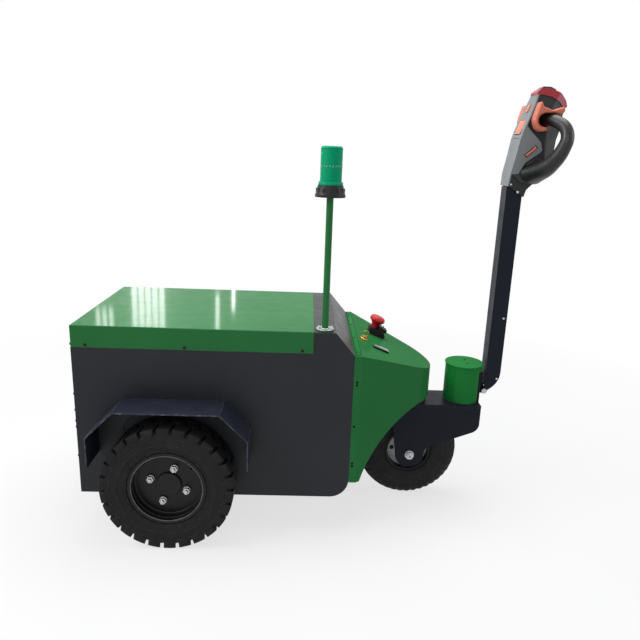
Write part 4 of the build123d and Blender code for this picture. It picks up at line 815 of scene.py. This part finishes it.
def rear_rim_relief(side, word):
    """Rolled lip in a lighter grey painted as its highlight, steps, valve and pressed holes of a rear rim.
    """
    lip, bm = bmesh.new(), bmesh.new()
    m = facing(0, side * REAR_Y, REAR_R, (0, side, 0))
    # A painted highlight: the lip is a lighter grey than the rim, with a glossy coat.
    lathe(lip, [(105.7, 39.6), (106.1, 41.2), (107.2, 42.0), (108.6, 42.0), (109.4, 41.4), (109.4, 41.0),
                (106.4, 41.0), (105.7, 39.6)], m, 120)
    piece(f"rim_lip_{word}", lip, f"rear_wheel_{word}", "rim_black", "rim_lip")
    lathe(bm, [(105.3, 12.0), (99.5, 11.2), (97.5, 9.1), (99.5, 9.05), (105.4, 9.05)], m, 120)
    lathe(bm, [(105.4, 24.0), (104.2, 25.0), (104.2, 27.0), (105.4, 28.0)], m, 120)
    lathe(bm, [(4.2, 0), (4.2, 3), (3.0, 4), (3.0, 16), (3.8, 16.5), (3.8, 22), (0, 22.4)],
          on_disc(side, 92, 40), 20)
    for k in range(4):
        lathe(bm, [(6.5, 0.1), (6.0, 0.5), (5.0, 0.4), (4.6, 0.1)], on_disc(side, 76, 26 - 90 * k), 24)
    piece(f"rim_detail_{word}", bm, f"rear_wheel_{word}", "rim_black")


def mirrored(rows):
    """A half profile and its mirror image, below it in reverse."""
    return rows + [(radius, -height) for radius, height in reversed(rows)]


def front_tread():
    """Front tyre with shoulder lugs, tread blocks and sidewall rings."""
    profile = [(79.0, 31.0), (80.6, 32.0), (80.9, 36.5), (84, 39.6), (90, 41.4), (95, 42.0), (96, 43.4),
               (98.5, 43.4), (99.5, 42.6), (110, 44.0), (119, 44.2), (120, 45.0), (123, 45.0),
               (124.5, 44.0), (134, 43.4), (143, 42.2), (151, 39.8), (157, 36.6), (163, 32.2),
               (168, 26.6), (171.4, 20.5), (172.4, 17.6), (168.6, 16.6), (168.6, 14.4), (173.8, 13.4),
               (174.8, 8.0), (174.8, 3.0), (170.6, 2.2)]
    m = facing(FRONT_X, 0, FRONT_R, (0, 1, 0))
    per_lug = 8
    steps = per_lug * FRONT_LUGS
    bm = bmesh.new()
    rings = []
    for radius, height in profile + [(170.6, 0.0)] + [(r, -h) for r, h in reversed(profile)]:
        rings.append([])
        for k in range(steps):
            phase = (k / per_lug + (0.5 if height < 0 else 0)) % 1.0
            r = radius
            if radius > 138 and abs(height) > 15.5 and phase < 0.36:
                r -= 6.0 * min(1.0, (radius - 138) / 16)
            elif abs(height) < 15 and 0.55 < phase < 0.75:
                r -= 3.5
            t = 2 * math.pi * k / steps
            spot = Vector((r * MM * math.cos(t), r * MM * math.sin(t), height * MM))
            rings[-1].append(bm.verts.new(m @ spot))
    skin(bm, rings, closed=True)
    piece("front_tread", bm, "front_wheel", "tyre_rubber", replaces=("front_tyre",), smooth_angle=30.0)


def front_rim():
    """Grey dished disc, deep in a dark barrel with a rolled lip."""
    m = facing(FRONT_X, 0, FRONT_R, (0, 1, 0))
    disc, barrel = bmesh.new(), bmesh.new()
    dish = [(13.2, 56), (28.6, 56), (30, 54.6), (30, 20), (33, 15.5), (40, 14), (52, 12.5), (62, 9.5),
            (68, 8.2), (72.8, 8)]
    lathe(disc, mirrored(dish) + dish[:1], m, 96)
    lip = [(72.9, 33.6), (73.6, 34.8), (75.0, 35.0), (78.2, 35.0), (79.7, 34.4), (80, 33.6), (79.6, 32.2),
           (76, 31.8)]
    lathe(barrel, mirrored(lip) + lip[:1], m, 120)
    bolts, bolt_r = 5, 55.4
    for side in (-1, 1):
        for k in range(bolts):
            t = math.radians(181 + 360 * k / bolts)
            x, z = FRONT_X + bolt_r * math.cos(t), FRONT_R + bolt_r * math.sin(t)
            hex_bolt(barrel, facing(x, side * 12, z, (0, side, 0)), 10.0, 4.0, washer=7.5)
    piece("front_disc", disc, "front_wheel", "rim_grey", replaces=("front_rim",), smooth_angle=40.0)
    piece("front_barrel", barrel, "front_wheel", "rim_black")


def axle_slots():
    """Crossed slots in the ends of the front axle's bolt, drawn as dark strips: painted shade, nothing is
    cut.
    """
    bm = bmesh.new()
    for side in (-1, 1):
        end = facing(FRONT_X, side * 84, FRONT_R, (0, side, 0))
        prism(bm, rectangle(9.5, 1.6), spun(end, 40.107), -0.5, 0.3)
        prism(bm, rectangle(9.5, 1.6), spun(end, 130.061), -0.5, 0.32)
    piece("axle_slots", bm, "fork", "fork_dark", "dark_gaps_and_painted_shade")


# ---------------------------------------------------------------- back and sides of the body
def hitch_bolts():
    """Four bolts of the hitch's bracket."""
    bm = bmesh.new()
    for y in (-66, 66):
        for z in (250, 362):
            hex_bolt(bm, facing(-305, y, z, BACK), 16.0, 6.0, washer=12.0)
    piece("hitch_bolts", bm, "chassis", "pin_steel")


def body_welds():
    """Welds at the hitch's gussets and along each fender's inner edge."""
    fender = (((-148, 362), (-147, 268)), ((-147.6, 362), (-66, 443)), ((-66, 443.5), (80, 443.5)),
              ((80, 443.5), (162, 362)))
    bm = bmesh.new()
    for side in (-1, 1):
        weld(bm, [(-306, side * 46, 300), (-306, side * 46, 312)], 1.8)
        for ends in fender:
            weld(bm, [(x, side * 270.4, z) for x, z in ends], 1.5)
    piece("body_welds", bm, "chassis", "body_dark")


# ---------------------------------------------------------------- stage, light and camera
WHITE = (1, 1, 1, 1)
WORLD_TINT, WORLD_STRENGTH = (0.93, 0.96, 1.0, 1), 0.28


def background_rays(n):
    """1 for the rays that show the white background: camera, glossy and transmission."""
    path = n.add("ShaderNodeLightPath").outputs
    bounced = n.math("MAXIMUM", path["Is Glossy Ray"], path["Is Transmission Ray"])
    return n.math("MAXIMUM", path["Is Camera Ray"], bounced)


def stage():
    """Pale floor that shows white, apart from the soft shadow near the tug."""
    size = 30.0
    bm = bmesh.new()
    for x, y in rectangle(2 * size, 2 * size):
        bm.verts.new((x, y, 0))
    bm.faces.new(bm.verts)
    floor = link("floor", bm)
    material = bpy.data.materials.new("floor")
    n = Nodes(material)
    here = n.add("ShaderNodeTexCoord").outputs["Object"]
    tone = n.spread(n.noise(here, 1.5, 3.0), 0.3, 0.7, 0.66, 0.70)
    grey = n.add("ShaderNodeCombineColor", {0: tone, 1: tone, 2: tone}).outputs[0]
    matt = n.add("ShaderNodeBsdfDiffuse", {"Color": grey})
    glow = n.add("ShaderNodeEmission", {"Color": WHITE, "Strength": 1.0})
    far = n.spread(n.add("ShaderNodeVectorMath", {0: here}, operation="LENGTH").outputs["Value"], 1.1, 2.6)
    glowing = n.math("ADD", n.math("MULTIPLY", far, 0.3), 0.7, clamp=True)
    share = n.math("MULTIPLY", background_rays(n), glowing)
    mixed = n.add("ShaderNodeMixShader", {0: share, 1: matt.outputs[0], 2: glow.outputs[0]})
    n.add("ShaderNodeOutputMaterial", {"Surface": mixed.outputs[0]})
    floor.data.materials.append(material)


def world():
    """White background, with a soft even light on the object."""
    made = bpy.data.worlds.new("studio")
    bpy.context.scene.world = made
    n = Nodes(made)
    soft = n.add("ShaderNodeBackground", {0: WORLD_TINT, 1: WORLD_STRENGTH})
    white = n.add("ShaderNodeBackground", {0: WHITE, 1: 1.0})
    mixed = n.add("ShaderNodeMixShader", {0: background_rays(n), 1: soft.outputs[0], 2: white.outputs[0]})
    n.add("ShaderNodeOutputWorld", {"Surface": mixed.outputs[0]})


def lamp(name, spot, target, width, height, power):
    data = bpy.data.lights.new(name, "AREA")
    data.shape = "RECTANGLE"
    data.size = width
    data.size_y = height
    data.energy = power
    thing = bpy.data.objects.new(name, data)
    bpy.context.scene.collection.objects.link(thing)
    thing.location = spot
    thing.rotation_euler = (Vector(target) - Vector(spot)).to_track_quat("-Z", "Y").to_euler()
    thing.visible_camera = False


def lights():
    """Soft studio lamps, and a far barred window seen as pale stripes in the cover's top."""
    lamp("key", (-3.0, -0.9, 2.9), (0, 0, 0.5), 2.4, 2.0, 100)
    lamp("sky", (0.2, 0.6, 3.7), (0, 0, 0), 3.0, 2.6, 122)
    lamp("front", (-0.6, -3.6, 2.1), (0, 0, 0.5), 2.4, 1.6, 20)
    lamp("right", (3.0, -0.6, 1.9), (0, 0, 0.6), 1.6, 1.6, 16)
    window_y, cover_top = 3400, 674
    panes = [(-1160 + 62 * k, 1455, 46, 0.72, 1.012) for k in range(5)]
    panes += [(-1500 + 60 * k, 1720, 34, 0.26, 0.264) for k in range(3)]
    panes += [(-409, 1610, 34, 0.36, 0.44), (-262, 1430, 30, 0.28, 0.44)]
    for across, high, wide, tall, power in panes:
        target = place(across * 0.3, 0, cover_top)
        lamp(f"window_{-across}", place(across, window_y, high), target, wide * MM, tall, power)


YAW, PITCH, ROLL = math.radians(1.9), math.radians(-15.2), math.radians(2.2)
EYE = (399.8, -1987.1, 1180.3)
SENSOR, LENS = 36.0, 33.91875
SHIFT_X, SHIFT_Y = -0.0071875, -0.00046875


def set_camera():
    """Camera at the photograph's viewing angle."""
    data = bpy.data.cameras.new("camera")
    data.sensor_width = SENSOR
    data.lens = LENS
    data.shift_x = SHIFT_X
    data.shift_y = SHIFT_Y
    camera = bpy.data.objects.new("camera", data)
    bpy.context.scene.collection.objects.link(camera)
    ahead = Vector((math.sin(YAW) * math.cos(PITCH), math.cos(YAW) * math.cos(PITCH), math.sin(PITCH)))
    level = Vector((math.cos(YAW), -math.sin(YAW), 0))
    above = level.cross(ahead)
    right = level * math.cos(ROLL) + above * math.sin(ROLL)
    upward = above * math.cos(ROLL) - level * math.sin(ROLL)
    camera.matrix_world = from_axes(right, upward, -ahead, place(*EYE))
    bpy.context.scene.camera = camera


# ---------------------------------------------------------------- the whole tug
dress_solids()
for side, word in SIDES:
    wheel_nuts(side, word)
cover_screws()
nose_holes()
lid_screws()
for side, word in SIDES:
    grip_loop(side, word)
for _, word in SIDES:
    throttle(word)
grip_roots()
head_trim()
bumper_crest()
beacon()
pole_foot()
stop_button()
key_and_ring()
meter()
nose_strip()
fork_welds()
arm_screws()
for side, word in SIDES:
    rear_tyre_relief(side, word)
    rear_rim_relief(side, word)
front_tread()
front_rim()
axle_slots()
hitch_bolts()
body_welds()
stage()
world()
lights()
set_camera()
bpy.context.scene.view_settings.view_transform = "Standard"
